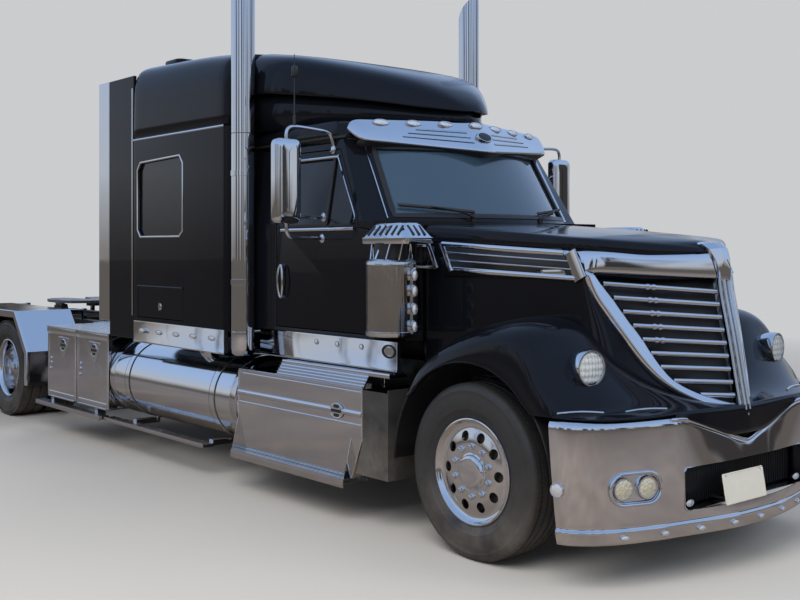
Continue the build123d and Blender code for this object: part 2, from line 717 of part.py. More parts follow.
# hinge rod of each luggage door, along its top edge
hinge_radius = 7
hinge_y = body_half + 3
hinge_z = hatch_outline[1][1] + 7
hinge_rear, hinge_front = hatch_outline[1][0], hatch_outline[2][0]
hinge_rod = rod((hinge_rear, hinge_y, hinge_z), (hinge_front, hinge_y, hinge_z), hinge_radius)
for hinge in both_sides(hinge_rod):
    sleeper_shell += hinge
nodes["sleeper_shell"] = sleeper_shell
nodes["sleeper_windows"] = panes[0] + panes[1]

# Roof: a low deck over the cab, a dome that widens back from a blunt point, and the sleeper's own top
deck_top = 2660
# cross sections of the dome: x, half width, top
dome_rows = ((-1185, 120, 2720), (-1230, 200, 2830), (-1370, 330, 2945), (-1560, 520, 3030),
             (-2080, 980, 3165), (cab_rear - 1, cab_half, 3260))
# right half of a section: share of the half width, share of the height
dome_shape = ((1, 0), (0.97, 0.5), (0.82, 0.86), (0.45, 0.97))
# side profile of the sleeper's top: x, z
roof_line = ((cab_rear, 3260), (-3100, 3330), (sleeper_rear, 3385))


def deck_volume(inset, base):
    front_arc = Edge.make_three_point_arc((-1410 - inset, 850 - inset, 0), (-1120 - inset, 0, 0),
                                          (-1410 - inset, inset - 850, 0))
    half = cab_half - 95 - inset
    corners = [(-1410 - inset, inset - 850), (-1520 - inset, -half), (cab_rear - 1, -half),
               (cab_rear - 1, half), (-1520 - inset, half), (-1410 - inset, 850 - inset)]
    edges = [front_arc]
    for start, end in zip(corners[:-1], corners[1:]):
        edges.append(Edge.make_line((*start, 0), (*end, 0)))
    high = deck_top - (roof_wall if inset else 0)
    return Pos(0, 0, base) * extrude(Face(Wire(edges)), high - base, dir=(0, 0, 1))


def dome_volume(inset, base):
    wires = []
    for x, half, top in dome_rows:
        height = top - inset - base
        left = [((half - inset) * wide, base + height * high) for wide, high in dome_shape]
        outline = left + [(0, top - inset)] + [(-y, z) for y, z in reversed(left)]
        wires.append(Wire.make_polygon([(x - inset, y, z) for y, z in outline], close=True))
    return Solid.make_loft(wires, ruled=True)


def sleeper_top_volume(inset, base):
    inner_rear = sleeper_rear + inset
    rows = [(x, z - inset) for x, z in roof_line[:-1]] + [(inner_rear, roof_line[-1][1] - inset)]
    body = side_prism([(cab_rear, base)] + rows + [(inner_rear, base)], -body_half - 80, body_half + 80)
    side = [(body_half - inset, base), (body_half - 15 - inset, 2950), (1110 - inset, 3230 - inset),
            (950, 3330 - inset), (500, 3385 - inset)]
    return body & front_prism(side + [(-y, z) for y, z in reversed(side)], sleeper_rear, cab_rear - inset)


def roof_volume(inset):
    low = 5 if inset else 0
    deck = deck_volume(cab_wall if inset else 0, cab_top - low)
    return deck + dome_volume(inset, cab_top - low) + sleeper_top_volume(inset, sleeper_top - low)


roof = roof_volume(0) - roof_volume(roof_wall)
roof -= block(cab_rear - roof_wall - 5, cab_rear + 10, -900, 900, cab_top - 5, 3100)
roof -= block(cab_rear - 10, cab_rear, -body_half, body_half, cab_top - 5, sleeper_top)
nodes["roof"] = roof

# Drop visor over the windshield, a shallow V in plan
visor_wall = 4
visor_top = [(-1400, 958), (-1180, 0), (-1400, -958)]
visor_low = [(-1310, 958), (-985, 0), (-1310, -958)]
upper_z = (2660, 2700, 2660)
lower_z = (2510, 2455, 2510)


def visor_section(index):
    (top_x, top_y), (low_x, low_y) = visor_top[index], visor_low[index]
    rows = [(top_x, top_y, upper_z[index]), (top_x - 25, top_y, upper_z[index] - 6),
            (low_x - 20, low_y, lower_z[index]), (low_x, low_y, lower_z[index]),
            (low_x + 4, low_y, lower_z[index] + 30), (top_x + 45, top_y, upper_z[index] - 20)]
    return Wire.make_polygon(rows, close=True)


visor = Solid.make_loft([visor_section(index) for index in (2, 1, 0)], ruled=True)
nodes["visor"] = visor - roof_volume(0)

# Side extenders behind the sleeper, with bright edge panels
extender_low = 1000
extender_high = 3250
extenders = block(extender_rear, sleeper_rear, body_half - 45, body_half - 15, extender_low, extender_high)
trims = block(extender_trim_rear, extender_rear, body_half - 40, body_half - 10, 1130, extender_high)
brace_low = extender_low + 300
brace_high = extender_high - 200
brace = block(sleeper_rear - 40, sleeper_rear, body_half - 160, body_half - 45, brace_low, brace_high)
nodes["side_extenders"] = join(both_sides(extenders + brace))
nodes["extender_trims"] = join(both_sides(trims))

# Bright skirts under the cab and the sleeper, clear of the tanks
skirt_low = 1000
skirt_sheet = 20
cab_skirt = block(cab_rear + 230, -1000, cab_half - skirt_sheet, cab_half, skirt_low, cab_floor)
skirt_inner = body_half - skirt_sheet
sleeper_skirt = block(sleeper_rear + 60, cab_rear, skirt_inner, body_half, skirt_low - 15, sleeper_floor)
nodes["side_skirts"] = join(both_sides(cab_skirt + sleeper_skirt))

# Air cleaners: canister, scoop and the bracket to the cowl
canister_x = -730
canister_y = 1135
canister_radius = 160
canister_low = 1230
canister_high = 1700
canister_top = (canister_x, canister_y, canister_high)
canister = rod((canister_x, canister_y, canister_low), canister_top, canister_radius)
canister += rod(canister_top, (canister_x, canister_y, canister_high + 150), 110)
scoop = block(-930, -470, canister_y - 130, canister_y + 75, canister_high + 100, canister_high + 230)
scoop = fillet(scoop.edges().filter_by(Axis.X), 60)
canister += scoop
canister += block(-860, -790, 950, 1000, 1350, 1650)
canister -= cab_outer
nodes["air_cleaners"] = join(both_sides(canister))

# Exhaust stacks with their elbows under the cab and two brackets on the sleeper's front wall
elbow_radius = 60
elbow_z = 1075
stack = rod((stack_x, stack_y, stack_bottom), (stack_x, stack_y, stack_top), stack_radius)
slant_rows = [(-2 * stack_radius, -1.5 * stack_slash), (stack_radius, 0), (2 * stack_radius, 0),
              (2 * stack_radius, 200), (-2 * stack_radius, 200)]
slant = side_prism([(stack_x + x, stack_top + z) for x, z in slant_rows], stack_y - 200, stack_y + 200)
stack -= slant
stack -= rod((stack_x, stack_y, stack_top - 500), (stack_x, stack_y, stack_top + 10), stack_radius - 4)
stack += rod((stack_x, 250, elbow_z), (stack_x, stack_y, elbow_z), elbow_radius)
for z in (1500, 2300):
    stack += block(cab_rear, stack_x - 60, stack_y - 25, stack_y + 25, z, z + 50)
nodes["exhaust_stacks"] = join(both_sides(stack))

# Fuel tanks with their brackets and straps, and the steps hung below them
strap_x = (-2800, -4230)
strap_half = 35
bracket_half = 40
tank = rod((tank_rear, tank_y, tank_z), (tank_front, tank_y, tank_z), tank_radius)
tank_edges = tank.edges().filter_by(GeomType.CIRCLE)
tank = fillet(tank_edges, 40)
for x in strap_x:
    band = rod((x - strap_half, tank_y, tank_z), (x + strap_half, tank_y, tank_z), tank_radius + 6)
    tank += band
    bracket = side_prism([(x - bracket_half, 330), (x + bracket_half, 330), (x + bracket_half, 930),
                          (x - bracket_half, 930)], rail_outer, tank_y)
    low_arm = block(x - bracket_half, x + bracket_half, rail_outer, tank_y + 60, 285, 345)
    bracket -= rod((x - 100, tank_y, tank_z), (x + 100, tank_y, tank_z), tank_radius + 6)
    tank += bracket + low_arm
tank += block(-4660, -2900, 1120, 1215, 238, 262)
for x in strap_x:
    hanger_x = min(x, -2930)
    tank += block(hanger_x - 30, hanger_x + 30, 900, 1130, 245, 290)
nodes["fuel_tanks"] = join(both_sides(tank))

# Step boxes beside the cab, with two treads let into the outer face
step_box = side_prism([(step_rear, 300), (step_front - 110, 300), (step_front, 556), (step_front, step_top),
                       (step_rear, step_top)], 460, 1190)
step_lip = block(step_rear, step_front - 120, 1100, 1215, 245, 300)
box_mount = block(step_rear + 100, step_front - 200, rail_outer, 460, rail_bottom, rail_bottom + 150)
step_box += step_lip + box_mount

# Splash panels behind the front wheels, fixed to the step boxes
splash = block(-715, -700, 470, 1195, 330, 900) + block(step_front, -700, 1180, 1195, 330, 880)
splash += block(step_front, -700, rail_outer, 470, rail_bottom + 20, rail_bottom + 120)
splash += block(-715, -700, rail_outer, 480, rail_bottom + 20, rail_bottom + 120)
nodes["step_boxes"] = join(both_sides(step_box + splash))

# Tool boxes behind the tanks, each split in two, open to the side behind its doors
tool_box = block(box_rear, box_front, box_inner, box_outer - box_door, box_bottom, box_top)
for x0, x1 in ((box_rear, box_split), (box_split, box_front)):
    tool_box -= block(x0 + box_wall, x1 - box_wall, box_inner + box_wall, box_outer, box_bottom + box_wall,
                      box_top - box_wall)
for x in (box_rear + 300, box_front - 300):
    tool_box += block(x - 60, x + 60, rail_outer, box_inner, rail_bottom, rail_bottom + 200)
box_step = block(-6150, -4680, 1160, 1250, 240, 270)
for x in (-5900, -4900):
    box_step += block(x - 30, x + 30, 1100, 1180, 255, box_bottom)
# hinge rod of each door, on a strip under its opening
tool_hinge_y = box_outer + 6
tool_hinge_z = box_bottom + 4
for x0, x1 in ((box_rear, box_split), (box_split, box_front)):
    rod_rear, rod_front = x0 + 40, x1 - 40
    tool_box += rod((rod_rear, tool_hinge_y, tool_hinge_z), (rod_front, tool_hinge_y, tool_hinge_z), 5)
    tool_box += block(rod_rear, rod_front, box_outer - 45, tool_hinge_y, box_bottom - 6, box_bottom)
nodes["tool_boxes"] = join(both_sides(tool_box + box_step))
door_clear = 5
for place, x0, x1 in (("front", box_split, box_front), ("rear", box_rear, box_split)):
    door = block(x0 + door_clear, x1 - door_clear, box_outer - box_door + 0.3, box_outer, box_bottom + 10,
                 box_top - 5)
    mid_x = (x0 + x1) / 2
    handle = block(mid_x - 40, mid_x + 40, box_outer, box_outer + 12, box_top - 160, box_top - 90)
    nodes[f"tool_door_{place}_left"] = door + handle
    nodes[f"tool_door_{place}_right"] = mirror(door + handle, about=Plane.XZ)

# Deck plate between the sleeper and the fifth wheel
nodes["deck_plate"] = block(-6350, sleeper_rear - 60, -560, 560, rail_top, rail_top + 8)

# Rear fenders over both drive axles, on tubes from the frame
fender_low = 363
first_axle, second_axle = drive_axles
middle_x = (first_axle + second_axle) / 2
fender_reach = tyre_radius + 60
bend_reach = 210
bend_z = hub_z + 204
front_line = ((first_axle + fender_reach, fender_low), (first_axle + fender_reach, bend_z),
              (first_axle + bend_reach, fender_top))
rear_line = ((second_axle - bend_reach, fender_top), (second_axle - fender_reach, bend_z),
             (second_axle - fender_reach, hub_z + 55))
line = list(front_line) + list(rear_line)
inner_line = []
for x, z in reversed(line):
    inner_x = x - fender_sheet if x > middle_x else x + fender_sheet
    inner_line.append((inner_x, z - fender_sheet if z == fender_top else z))
rear_fender = side_prism(line + inner_line, fender_inner, body_half - 10)
lip_z = fender_top - 25
for y in (fender_inner, body_half - 10 - fender_sheet):
    lip = side_prism([(first_axle + fender_reach, bend_z), (first_axle + bend_reach, fender_top),
                      (second_axle - bend_reach, fender_top), (second_axle - fender_reach, bend_z),
                      (second_axle - fender_reach + 20, bend_z), (second_axle - bend_reach + 10, lip_z),
                      (first_axle + bend_reach - 10, lip_z), (first_axle + fender_reach - 20, bend_z)],
                     y, y + fender_sheet)
    rear_fender += lip
post_y = 392
for x in (first_axle + 150, second_axle - 150):
    rear_fender += block(x - 25, x + 25, post_y, rail_outer, rail_top, fender_top - 3)
    rear_fender += rod((x, post_y + 5, fender_top - 16), (x, fender_inner + 2, fender_top - 16), 10)
nodes["rear_fenders"] = join(both_sides(rear_fender))

# Tail light bar under the frame's end, and the mud flaps on it
bar_front = rail_rear + 80
bar_top = rail_bottom - 22
tail_bar = block(rail_rear, bar_front, -1150, 1150, bar_top - 125, bar_top)
for side in (-1, 1):
    tail_bar += block(rail_rear, bar_front, side * 350, side * 430, bar_top - 10, rail_bottom)
nodes["tail_light_bar"] = tail_bar
flap = block(bar_front, bar_front + 10, 620, 1200, 260, 900)
nodes["mud_flaps"] = join(both_sides(flap))

# Fifth wheel: base brackets on the rails and the tilting plate with its throat and lock
base = block(fifth_x - 260, fifth_x + 260, 350, 430, rail_top, rail_top + 30)
base += side_prism([(fifth_x - 130, rail_top), (fifth_x + 130, rail_top), (fifth_x + 40, fifth_pin_z + 30),
                    (fifth_x - 40, fifth_pin_z + 30)], 350, 390)
base += rod((fifth_x, 350, fifth_pin_z), (fifth_x, 480, fifth_pin_z), fifth_pin_radius)
bases = both_sides(base)
bases.append(block(fifth_x + 180, fifth_x + 240, -430, 430, rail_top, rail_top + 30))
nodes["fifth_wheel_base"] = join(bases)
plate_half = 455
plate_thickness = 30
plate_plan = [(fifth_x + 330, -200), (fifth_x + 330, 200), (fifth_x + 250, 380), (fifth_x + 60, plate_half),
              (fifth_x - 230, plate_half), (fifth_x - 420, 400), (fifth_x - 560, 290), (fifth_x - 560, 130),
              (fifth_x - 170, 50), (fifth_x - 170, -50), (fifth_x - 560, -130), (fifth_x - 560, -290),
              (fifth_x - 420, -400), (fifth_x - 230, -plate_half), (fifth_x + 60, -plate_half),
              (fifth_x + 250, -380)]
plate = plan_prism(plate_plan, fifth_top - plate_thickness, fifth_top)
plate += rod((fifth_x, 0, fifth_top - 75), (fifth_x, 0, fifth_top - 1), 95)
plate -= rod((fifth_x, 0, fifth_top - 90), (fifth_x, 0, fifth_top + 10), kingpin_bore)
for side in (-1, 1):
    plate_low = fifth_top - plate_thickness
    ear_rows = [(fifth_x - 90, plate_low), (fifth_x + 90, plate_low), (fifth_x + 45, fifth_pin_z - 40),
                (fifth_x - 45, fifth_pin_z - 40)]
    ear = side_prism(ear_rows, side * 400, side * 440)
    ear_start = (fifth_x, side * 395, fifth_pin_z)
    ear -= rod(ear_start, (fifth_x, side * 445, fifth_pin_z), fifth_pin_radius + running_fit)
    plate += ear
nodes["fifth_wheel_plate"] = plate

# Mirrors on two arms from each door
mirror_x = -1560
mirror_y = 1353
mirror_low = 1935
mirror_high = 2506
head = block(mirror_x - 35, mirror_x + 35, mirror_y - 105, mirror_y + 105, mirror_low, mirror_high)
head = fillet(head.edges().filter_by(Axis.X), 40)
arm_radius = 14
for z, reach in ((mirror_low - 60, 1040), (2415, 960)):
    head += rod((mirror_x + 20, reach, z), (mirror_x + 20, mirror_y, z), arm_radius)
arm_x = mirror_x + 20
head += rod((arm_x, mirror_y, mirror_low - 60), (arm_x, mirror_y, mirror_low + 30), arm_radius)
head -= cab_outer
nodes["mirror_left"] = head
nodes["mirror_right"] = mirror(head, about=Plane.XZ)

# Inside: dashboard with the steering wheel, two seats and the bunk
floor_z = cab_floor + 0.6 * cab_wall
dash_clear = 2
dash_front = recess[0] - cab_wall - dash_clear
dash_rear = -1330
dash_half = cab_half - cab_wall - 20
dash = side_prism([(dash_front, 1680), (-1250, 1640), (dash_rear, 1660), (dash_rear, 1840), (-1200, 1890),
                   (dash_front, 1890)], -dash_half, dash_half)
dash += block(-1170, dash_front, -300, 300, floor_z, 1700)
seat_y_centre = 470
rim_circle = 215
column_radius = 28
wheel_centre = Vector(-1480, seat_y_centre, 1790)
column_way = Vector(0.6, 0, -0.8)
wheel_plane = Plane(origin=wheel_centre, z_dir=-column_way)
dash += wheel_plane * Torus(rim_circle, 16)
dash += wheel_plane * Cylinder(60, 30)
dash += wheel_plane * Box(2 * rim_circle, 36, 14)
dash += rod(wheel_centre, wheel_centre + column_way * 460, column_radius)
dash += block(-1300, -1230, seat_y_centre - 25, seat_y_centre + 25, 1500, 1680)
nodes["dashboard"] = dash
seat_shapes = []
seat_bases = []
for side in (-1, 1):
    y = side * seat_y_centre
    cushion = block(-2180, -1680, y - 260, y + 260, 1560, 1690)
    back = side_prism([(-2180, 1690), (-2060, 1690), (-2180, 2300), (-2300, 2300)], y - 250, y + 250)
    rest = side_prism([(-2200, 2300), (-2290, 2300), (-2320, 2460), (-2240, 2460)], y - 130, y + 130)
    seat_shapes.append(cushion + back + rest)
    seat_bases.append(block(-2120, -1740, y - 200, y + 200, floor_z, 1559.7))
nodes["seats"] = seat_shapes[0] + seat_shapes[1]
bunk_front = -3100
bunk_back = sleeper_rear + sleeper_wall + 5
bunk_half = body_half - sleeper_wall - 5
bunk_floor = sleeper_floor + sleeper_wall
bunk_base = block(bunk_back, bunk_front, -bunk_half, bunk_half, 1680, 1720)
bunk_base += block(bunk_front - 20, bunk_front, -bunk_half, bunk_half, bunk_floor, 1680)
nodes["cabin_bases"] = seat_bases[0] + seat_bases[1] + bunk_base
nodes["bunk_mattress"] = block(bunk_back + 5, bunk_front - 5, -bunk_half + 10, bunk_half - 10, 1720.3, 1870)

# Everything moves so that the middle of the length lies over the origin
prow_x = bumper_plan[0][0]
shift_x = -(prow_x + rail_rear) / 2
os.makedirs("parts", exist_ok=True)
for name, shape in nodes.items():
    export_step(Pos(shift_x, 0, 0) * shape, f"parts/{name}.step")
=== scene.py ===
import json
import math

import bmesh
import bpy
from mathutils import Matrix, Vector
from mathutils.bvhtree import BVHTree


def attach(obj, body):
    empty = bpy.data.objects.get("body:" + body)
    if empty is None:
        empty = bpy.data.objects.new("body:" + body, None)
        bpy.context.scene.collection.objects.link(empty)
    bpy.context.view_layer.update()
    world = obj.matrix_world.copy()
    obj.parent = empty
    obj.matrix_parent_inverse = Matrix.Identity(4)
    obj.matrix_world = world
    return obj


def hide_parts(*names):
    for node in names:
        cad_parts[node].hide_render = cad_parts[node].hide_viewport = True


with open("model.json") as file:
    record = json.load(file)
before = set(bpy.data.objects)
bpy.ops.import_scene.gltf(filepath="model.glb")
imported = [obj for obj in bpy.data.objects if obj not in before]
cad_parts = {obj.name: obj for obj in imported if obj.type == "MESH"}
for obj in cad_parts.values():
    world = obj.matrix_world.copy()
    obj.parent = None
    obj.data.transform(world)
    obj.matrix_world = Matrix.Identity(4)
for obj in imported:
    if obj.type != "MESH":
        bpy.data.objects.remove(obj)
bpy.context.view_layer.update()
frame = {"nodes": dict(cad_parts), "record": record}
cad = frame["nodes"]
nodeBody = {node: body for body, names in frame["record"]["behaviour"]["bodies"].items() for node in names}

# lengths along the truck are given from the front axle, and moved to the frame's origin when a piece is made
truck = {"axleX": 4.015, "wheelRadius": 0.505, "driveAxles": (-7.06, -8.38)}
toFrame = Matrix.Translation((truck["axleX"], 0, 0))
upward, outward = Vector((0, 0, 1)), Vector((0, 1, 0))
sides = ((1, "left"), (-1, "right"))
print("frame loaded")


# shader groups shared by the materials


def addNode(tree, kind, inputs=None, **settings):
    # one node with its settings, and its inputs linked or set
    node = tree.nodes.new(kind)
    for label, value in settings.items():
        setattr(node, label, value)
    for label, value in (inputs or {}).items():
        if isinstance(value, bpy.types.NodeSocket):
            tree.links.new(value, node.inputs[label])
        elif value is not None:
            node.inputs[label].default_value = value
    return node


def mathNode(tree, operation, first, second=None, clamp=False):
    return addNode(tree, "ShaderNodeMath", {0: first, 1: second}, operation=operation,
                   use_clamp=clamp).outputs[0]


def noiseNode(tree, vector, scale, detail=3.0, roughness=0.5):
    values = {"Vector": vector, "Scale": scale, "Detail": detail, "Roughness": roughness}
    return addNode(tree, "ShaderNodeTexNoise", values).outputs["Fac"]


def waveNode(tree, vector, direction, scale):
    return addNode(tree, "ShaderNodeTexWave", {"Vector": vector, "Scale": scale},
                   bands_direction=direction).outputs["Fac"]


def stretchNode(tree, vector, factors):
    return addNode(tree, "ShaderNodeVectorMath", {0: vector, 1: factors}, operation="MULTIPLY").outputs[0]


def mixColour(tree, factor, first, second):
    first, second = (value if isinstance(value, bpy.types.NodeSocket) else (*value[:3], 1.0)
                     for value in (first, second))
    return addNode(tree, "ShaderNodeMix", {0: factor, 6: first, 7: second}, data_type="RGBA").outputs[2]


def newGroup(name, output, **inputs):
    # each group takes a place and some numbers, and puts out one number that changes over the surface
    group = bpy.data.node_groups.new(name, "ShaderNodeTree")
    group.interface.new_socket("Vector", in_out="INPUT", socket_type="NodeSocketVector")
    for label, value in inputs.items():
        group.interface.new_socket(label, in_out="INPUT", socket_type="NodeSocketFloat").default_value = value
    group.interface.new_socket(output, in_out="OUTPUT", socket_type="NodeSocketFloat")
    return group, group.nodes.new("NodeGroupInput").outputs, group.nodes.new("NodeGroupOutput").inputs[0]


def makeHandSmear():
    # cloudy change of polish, between two roughness values
    group, given, result = newGroup("handSmear", "Roughness", Scale=3.0, Low=0.05, High=0.2)
    cloud = noiseNode(group, given["Vector"], given["Scale"], 5.0, 0.6)
    spread = mathNode(group, "SUBTRACT", given["High"], given["Low"])
    sharper = mathNode(group, "MULTIPLY", mathNode(group, "SUBTRACT", cloud, 0.38), 3.2, clamp=True)
    group.links.new(mathNode(group, "ADD", mathNode(group, "MULTIPLY", sharper, spread), given["Low"]),
                    result)
    return group


def makeRoadDust():
    # film of dust that thins out with height above the road
    group, given, result = newGroup("roadDust", "Mask", Amount=0.3, Reach=1.0)
    split = addNode(group, "ShaderNodeSeparateXYZ", {0: given["Vector"]})
    height = mathNode(group, "DIVIDE", split.outputs["Z"], given["Reach"])
    low = mathNode(group, "SUBTRACT", 1.0, height, clamp=True)
    coarse = noiseNode(group, given["Vector"], 4.0, 6.0, 0.65)
    patch = mathNode(group, "MULTIPLY", mathNode(group, "SUBTRACT", coarse, 0.35), 2.6, clamp=True)
    film = mathNode(group, "MULTIPLY", low, patch)
    group.links.new(mathNode(group, "MULTIPLY", film, given["Amount"], clamp=True), result)
    return group


def makePanelRipple():
    # slow waves of pressed sheet, plus a fine grain
    group, given, result = newGroup("panelRipple", "Height", Scale=2.0, Grain=0.1, GrainScale=150.0)
    slow = noiseNode(group, given["Vector"], given["Scale"], 1.0, 0.4)
    fine = noiseNode(group, given["Vector"], given["GrainScale"], 2.0, 0.6)
    group.links.new(mathNode(group, "ADD", slow, mathNode(group, "MULTIPLY", fine, given["Grain"])), result)
    return group


handSmear, roadDust, panelRipple = makeHandSmear(), makeRoadDust(), makePanelRipple()
dustColour = (0.30, 0.26, 0.22)


def groupNode(tree, group, vector, **values):
    return addNode(tree, "ShaderNodeGroup", {"Vector": vector, **values}, node_tree=group).outputs[0]


def startMaterial(name, plain):
    material = bpy.data.materials.new(name)
    material.use_nodes = True
    tree = material.node_tree
    shader = tree.nodes["Principled BSDF"]
    for label, value in plain.items():
        shader.inputs[label].default_value = value
    return material, tree, shader, addNode(tree, "ShaderNodeTexCoord").outputs["Object"]


def makeFinish(name, slot, colour, rough, smear, ripple, grain, lift, second=None, grainScale=150.0, dust=0.0,
               reach=1.2, metal=0.0, coat=0.0, **plain):
    material, tree, shader, place = startMaterial(name, {"Metallic": metal, "Coat Weight": coat, **plain})
    tone = colour
    if second:
        tone = mixColour(tree, noiseNode(tree, place, smear * 1.7, 4.0), colour, second)
    if dust:
        tone = mixColour(tree, groupNode(tree, roadDust, place, Amount=dust, Reach=reach), tone, dustColour)
    elif not second:
        tone = mixColour(tree, noiseNode(tree, place, smear * 2.0, 3.0), colour,
                         [part * 0.93 for part in colour])
    polish = groupNode(tree, handSmear, place, Scale=smear, Low=rough[0], High=rough[1])
    wave = groupNode(tree, panelRipple, place, Scale=ripple, Grain=grain, GrainScale=grainScale)
    bump = addNode(tree, "ShaderNodeBump", {"Distance": lift, "Height": wave})
    for label, socket in (("Base Color", tone), ("Roughness", polish), ("Normal", bump.outputs["Normal"])):
        tree.links.new(socket, shader.inputs[label])
    return material


def makeGlass(name, colour, rough, alpha, coat=1.0):
    plain = {"IOR": 1.5, "Coat Weight": coat, "Coat Roughness": 0.01, "Alpha": alpha}
    material, tree, shader, place = startMaterial(name, plain)
    tone = mixColour(tree, noiseNode(tree, place, 1.4, 2.0), colour, [part * 0.8 for part in colour])
    tree.links.new(tone, shader.inputs["Base Color"])
    tree.links.new(groupNode(tree, handSmear, place, Scale=2.5, Low=rough, High=rough * 2.5),
                   shader.inputs["Roughness"])
    return material


# each finish: name, slot, colour, roughness from and to, size of the smears, ripple, grain, lift of relief
paintBlack = makeFinish("paintBlack", "body_black", (0.004, 0.0045, 0.0065), (0.10, 0.16), 3.0, 1.2, 0.02,
                        0.0005, coat=0.36, **{"Coat Roughness": 0.015, "Specular IOR Level": 0.08})
chromeBright = makeFinish("chromeBright", "chrome", (0.78, 0.80, 0.83), (0.02, 0.07), 2.0, 1.6, 0.01, 0.0012,
                          metal=1.0)
chromeSheet = makeFinish("chromeSheet", "chrome", (0.76, 0.76, 0.77), (0.03, 0.10), 1.5, 2.6, 0.02, 0.004,
                         dust=0.25, reach=0.7, metal=1.0)
drumMetal = makeFinish("drumMetal", "chrome", (0.78, 0.77, 0.75), (0.03, 0.12), 4.0, 3.0, 0.02, 0.002,
                       second=(0.62, 0.60, 0.58), metal=1.0)
tankMetal = makeFinish("tankMetal", "polished", (0.76, 0.78, 0.80), (0.05, 0.13), 2.2, 1.8, 0.05, 0.002,
                       dust=0.3, reach=0.6, metal=1.0)
boxSteel = makeFinish("boxSteel", "polished", (0.68, 0.68, 0.69), (0.035, 0.10), 2.4, 2.2, 0.02, 0.002,
                      dust=0.3, reach=0.9, metal=1.0)
treadPlate = makeFinish("treadPlate", "polished", (0.60, 0.61, 0.63), (0.18, 0.34), 5.0, 4.0, 0.2, 0.001,
                        dust=0.4, reach=2.2, metal=1.0)
wheelMetal = makeFinish("wheelMetal", "wheel_metal", (0.78, 0.79, 0.81), (0.06, 0.13), 6.0, 6.0, 0.05, 0.0006,
                        dust=0.2, reach=1.4, metal=1.0)
mirrorFace = makeFinish("mirrorFace", "mirror_glass", (0.80, 0.82, 0.85), (0.01, 0.04), 3.0, 1.0, 0.0, 0.0002,
                        metal=1.0)
frameBlack = makeFinish("frameBlack", "frame_black", (0.018, 0.018, 0.020), (0.35, 0.6), 8.0, 9.0, 0.4,
                        0.0008, second=(0.030, 0.028, 0.027), dust=0.5, reach=1.3)
greasePlate = makeFinish("greasePlate", "frame_black", (0.05, 0.05, 0.052), (0.2, 0.5), 7.0, 9.0, 0.5, 0.0012,
                         second=(0.20, 0.20, 0.21), metal=0.8)
tyreRubber = makeFinish("tyreRubber", "tyre", (0.017, 0.017, 0.018), (0.42, 0.62), 9.0, 14.0, 0.5, 0.0005,
                        second=(0.027, 0.026, 0.025), grainScale=260.0, dust=0.35, reach=0.6)
flapRubber = makeFinish("flapRubber", "rubber", (0.02, 0.02, 0.02), (0.5, 0.7), 5.0, 6.0, 0.5, 0.001,
                        second=(0.035, 0.034, 0.033), dust=0.6, reach=1.0)
trimBlack = makeFinish("trimBlack", "black_trim", (0.012, 0.012, 0.013), (0.3, 0.5), 6.0, 8.0, 0.4, 0.0004,
                       grainScale=320.0)
cabinPlastic = makeFinish("cabinPlastic", "cabin_plastic", (0.055, 0.055, 0.060), (0.5, 0.65), 4.0, 30.0, 0.8,
                          0.0005, second=(0.07, 0.07, 0.075), grainScale=420.0)
seatLeather = makeFinish("seatLeather", "seat_leather", (0.045, 0.045, 0.05), (0.35, 0.5), 6.0, 12.0, 0.3,
                         0.0008, second=(0.065, 0.063, 0.066))
bunkFabric = makeFinish("bunkFabric", "bunk_fabric", (0.20, 0.21, 0.25), (0.75, 0.9), 12.0, 20.0, 0.5, 0.001,
                        second=(0.27, 0.28, 0.32), grainScale=500.0)
plateBlank = makeFinish("plateBlank", "blank_plate", (0.62, 0.60, 0.54), (0.35, 0.5), 9.0, 12.0, 0.3, 0.0004,
                        second=(0.55, 0.53, 0.48))
emberAmber = makeFinish("emberAmber", "amber_lens", (0.85, 0.28, 0.02), (0.08, 0.15), 3.0, 40.0, 0.3, 0.0006,
                        coat=1.0)
lensRed = makeFinish("lensRed", "red_lens", (0.55, 0.012, 0.010), (0.08, 0.15), 3.0, 60.0, 0.4, 0.0010,
                     coat=1.0)
lensClear = makeFinish("lensClear", "clear_lens", (0.70, 0.72, 0.74), (0.05, 0.12), 3.0, 60.0, 0.3, 0.0015,
                       metal=0.6, coat=1.0)
fogLens = makeFinish("fogLens", "clear_lens", (0.60, 0.56, 0.42), (0.06, 0.14), 20.0, 60.0, 0.3, 0.0010,
                     second=(0.42, 0.40, 0.30), metal=0.35, coat=1.0)
lensGlass = makeGlass("lensGlass", (0.80, 0.84, 0.86), 0.03, 0.45)
# windshield glass: a blue tint, made darker as painted shade that stands in for the visor's shadow and its
# dark reflection on the glass
windowTintAndShade = makeGlass("windowTintAndShade", (0.035, 0.065, 0.10), 0.02, 0.84)
windowDark = makeGlass("windowDark", (0.004, 0.005, 0.006), 0.02, 0.96, coat=0.2)


def cellHeight(scale, feature="F1"):
    # small pressed cells, as on a lamp's lens or in leather
    return lambda tree, place: addNode(tree, "ShaderNodeTexVoronoi", {"Vector": place, "Scale": scale},
                                       feature=feature).outputs["Distance"]


def leatherHeight(tree, place):
    return mathNode(tree, "MULTIPLY", cellHeight(260.0, "DISTANCE_TO_EDGE")(tree, place), 3.0, clamp=True)


def weaveHeight(tree, place):
    return mathNode(tree, "MAXIMUM", *(waveNode(tree, place, way, 160.0) for way in "XY"))


def fluteHeight(tree, place):
    return mathNode(tree, "ADD", waveNode(tree, place, "Y", 14.0), waveNode(tree, place, "Z", 9.0))


def streakHeight(tree, place):
    # upright streaks, as the thin crinkled skin of the air cleaners shows
    return noiseNode(tree, stretchNode(tree, place, (1.0, 1.0, 0.05)), 26.0, 5.0)


def diamondHeight(tree, place):
    turned = addNode(tree, "ShaderNodeMapping",
                     {"Vector": place, "Rotation": (0, 0, math.radians(45))}).outputs[0]
    bands = [mathNode(tree, "POWER", waveNode(tree, turned, way, 9.0), 3.0) for way in "XY"]
    return mathNode(tree, "MULTIPLY", *bands)


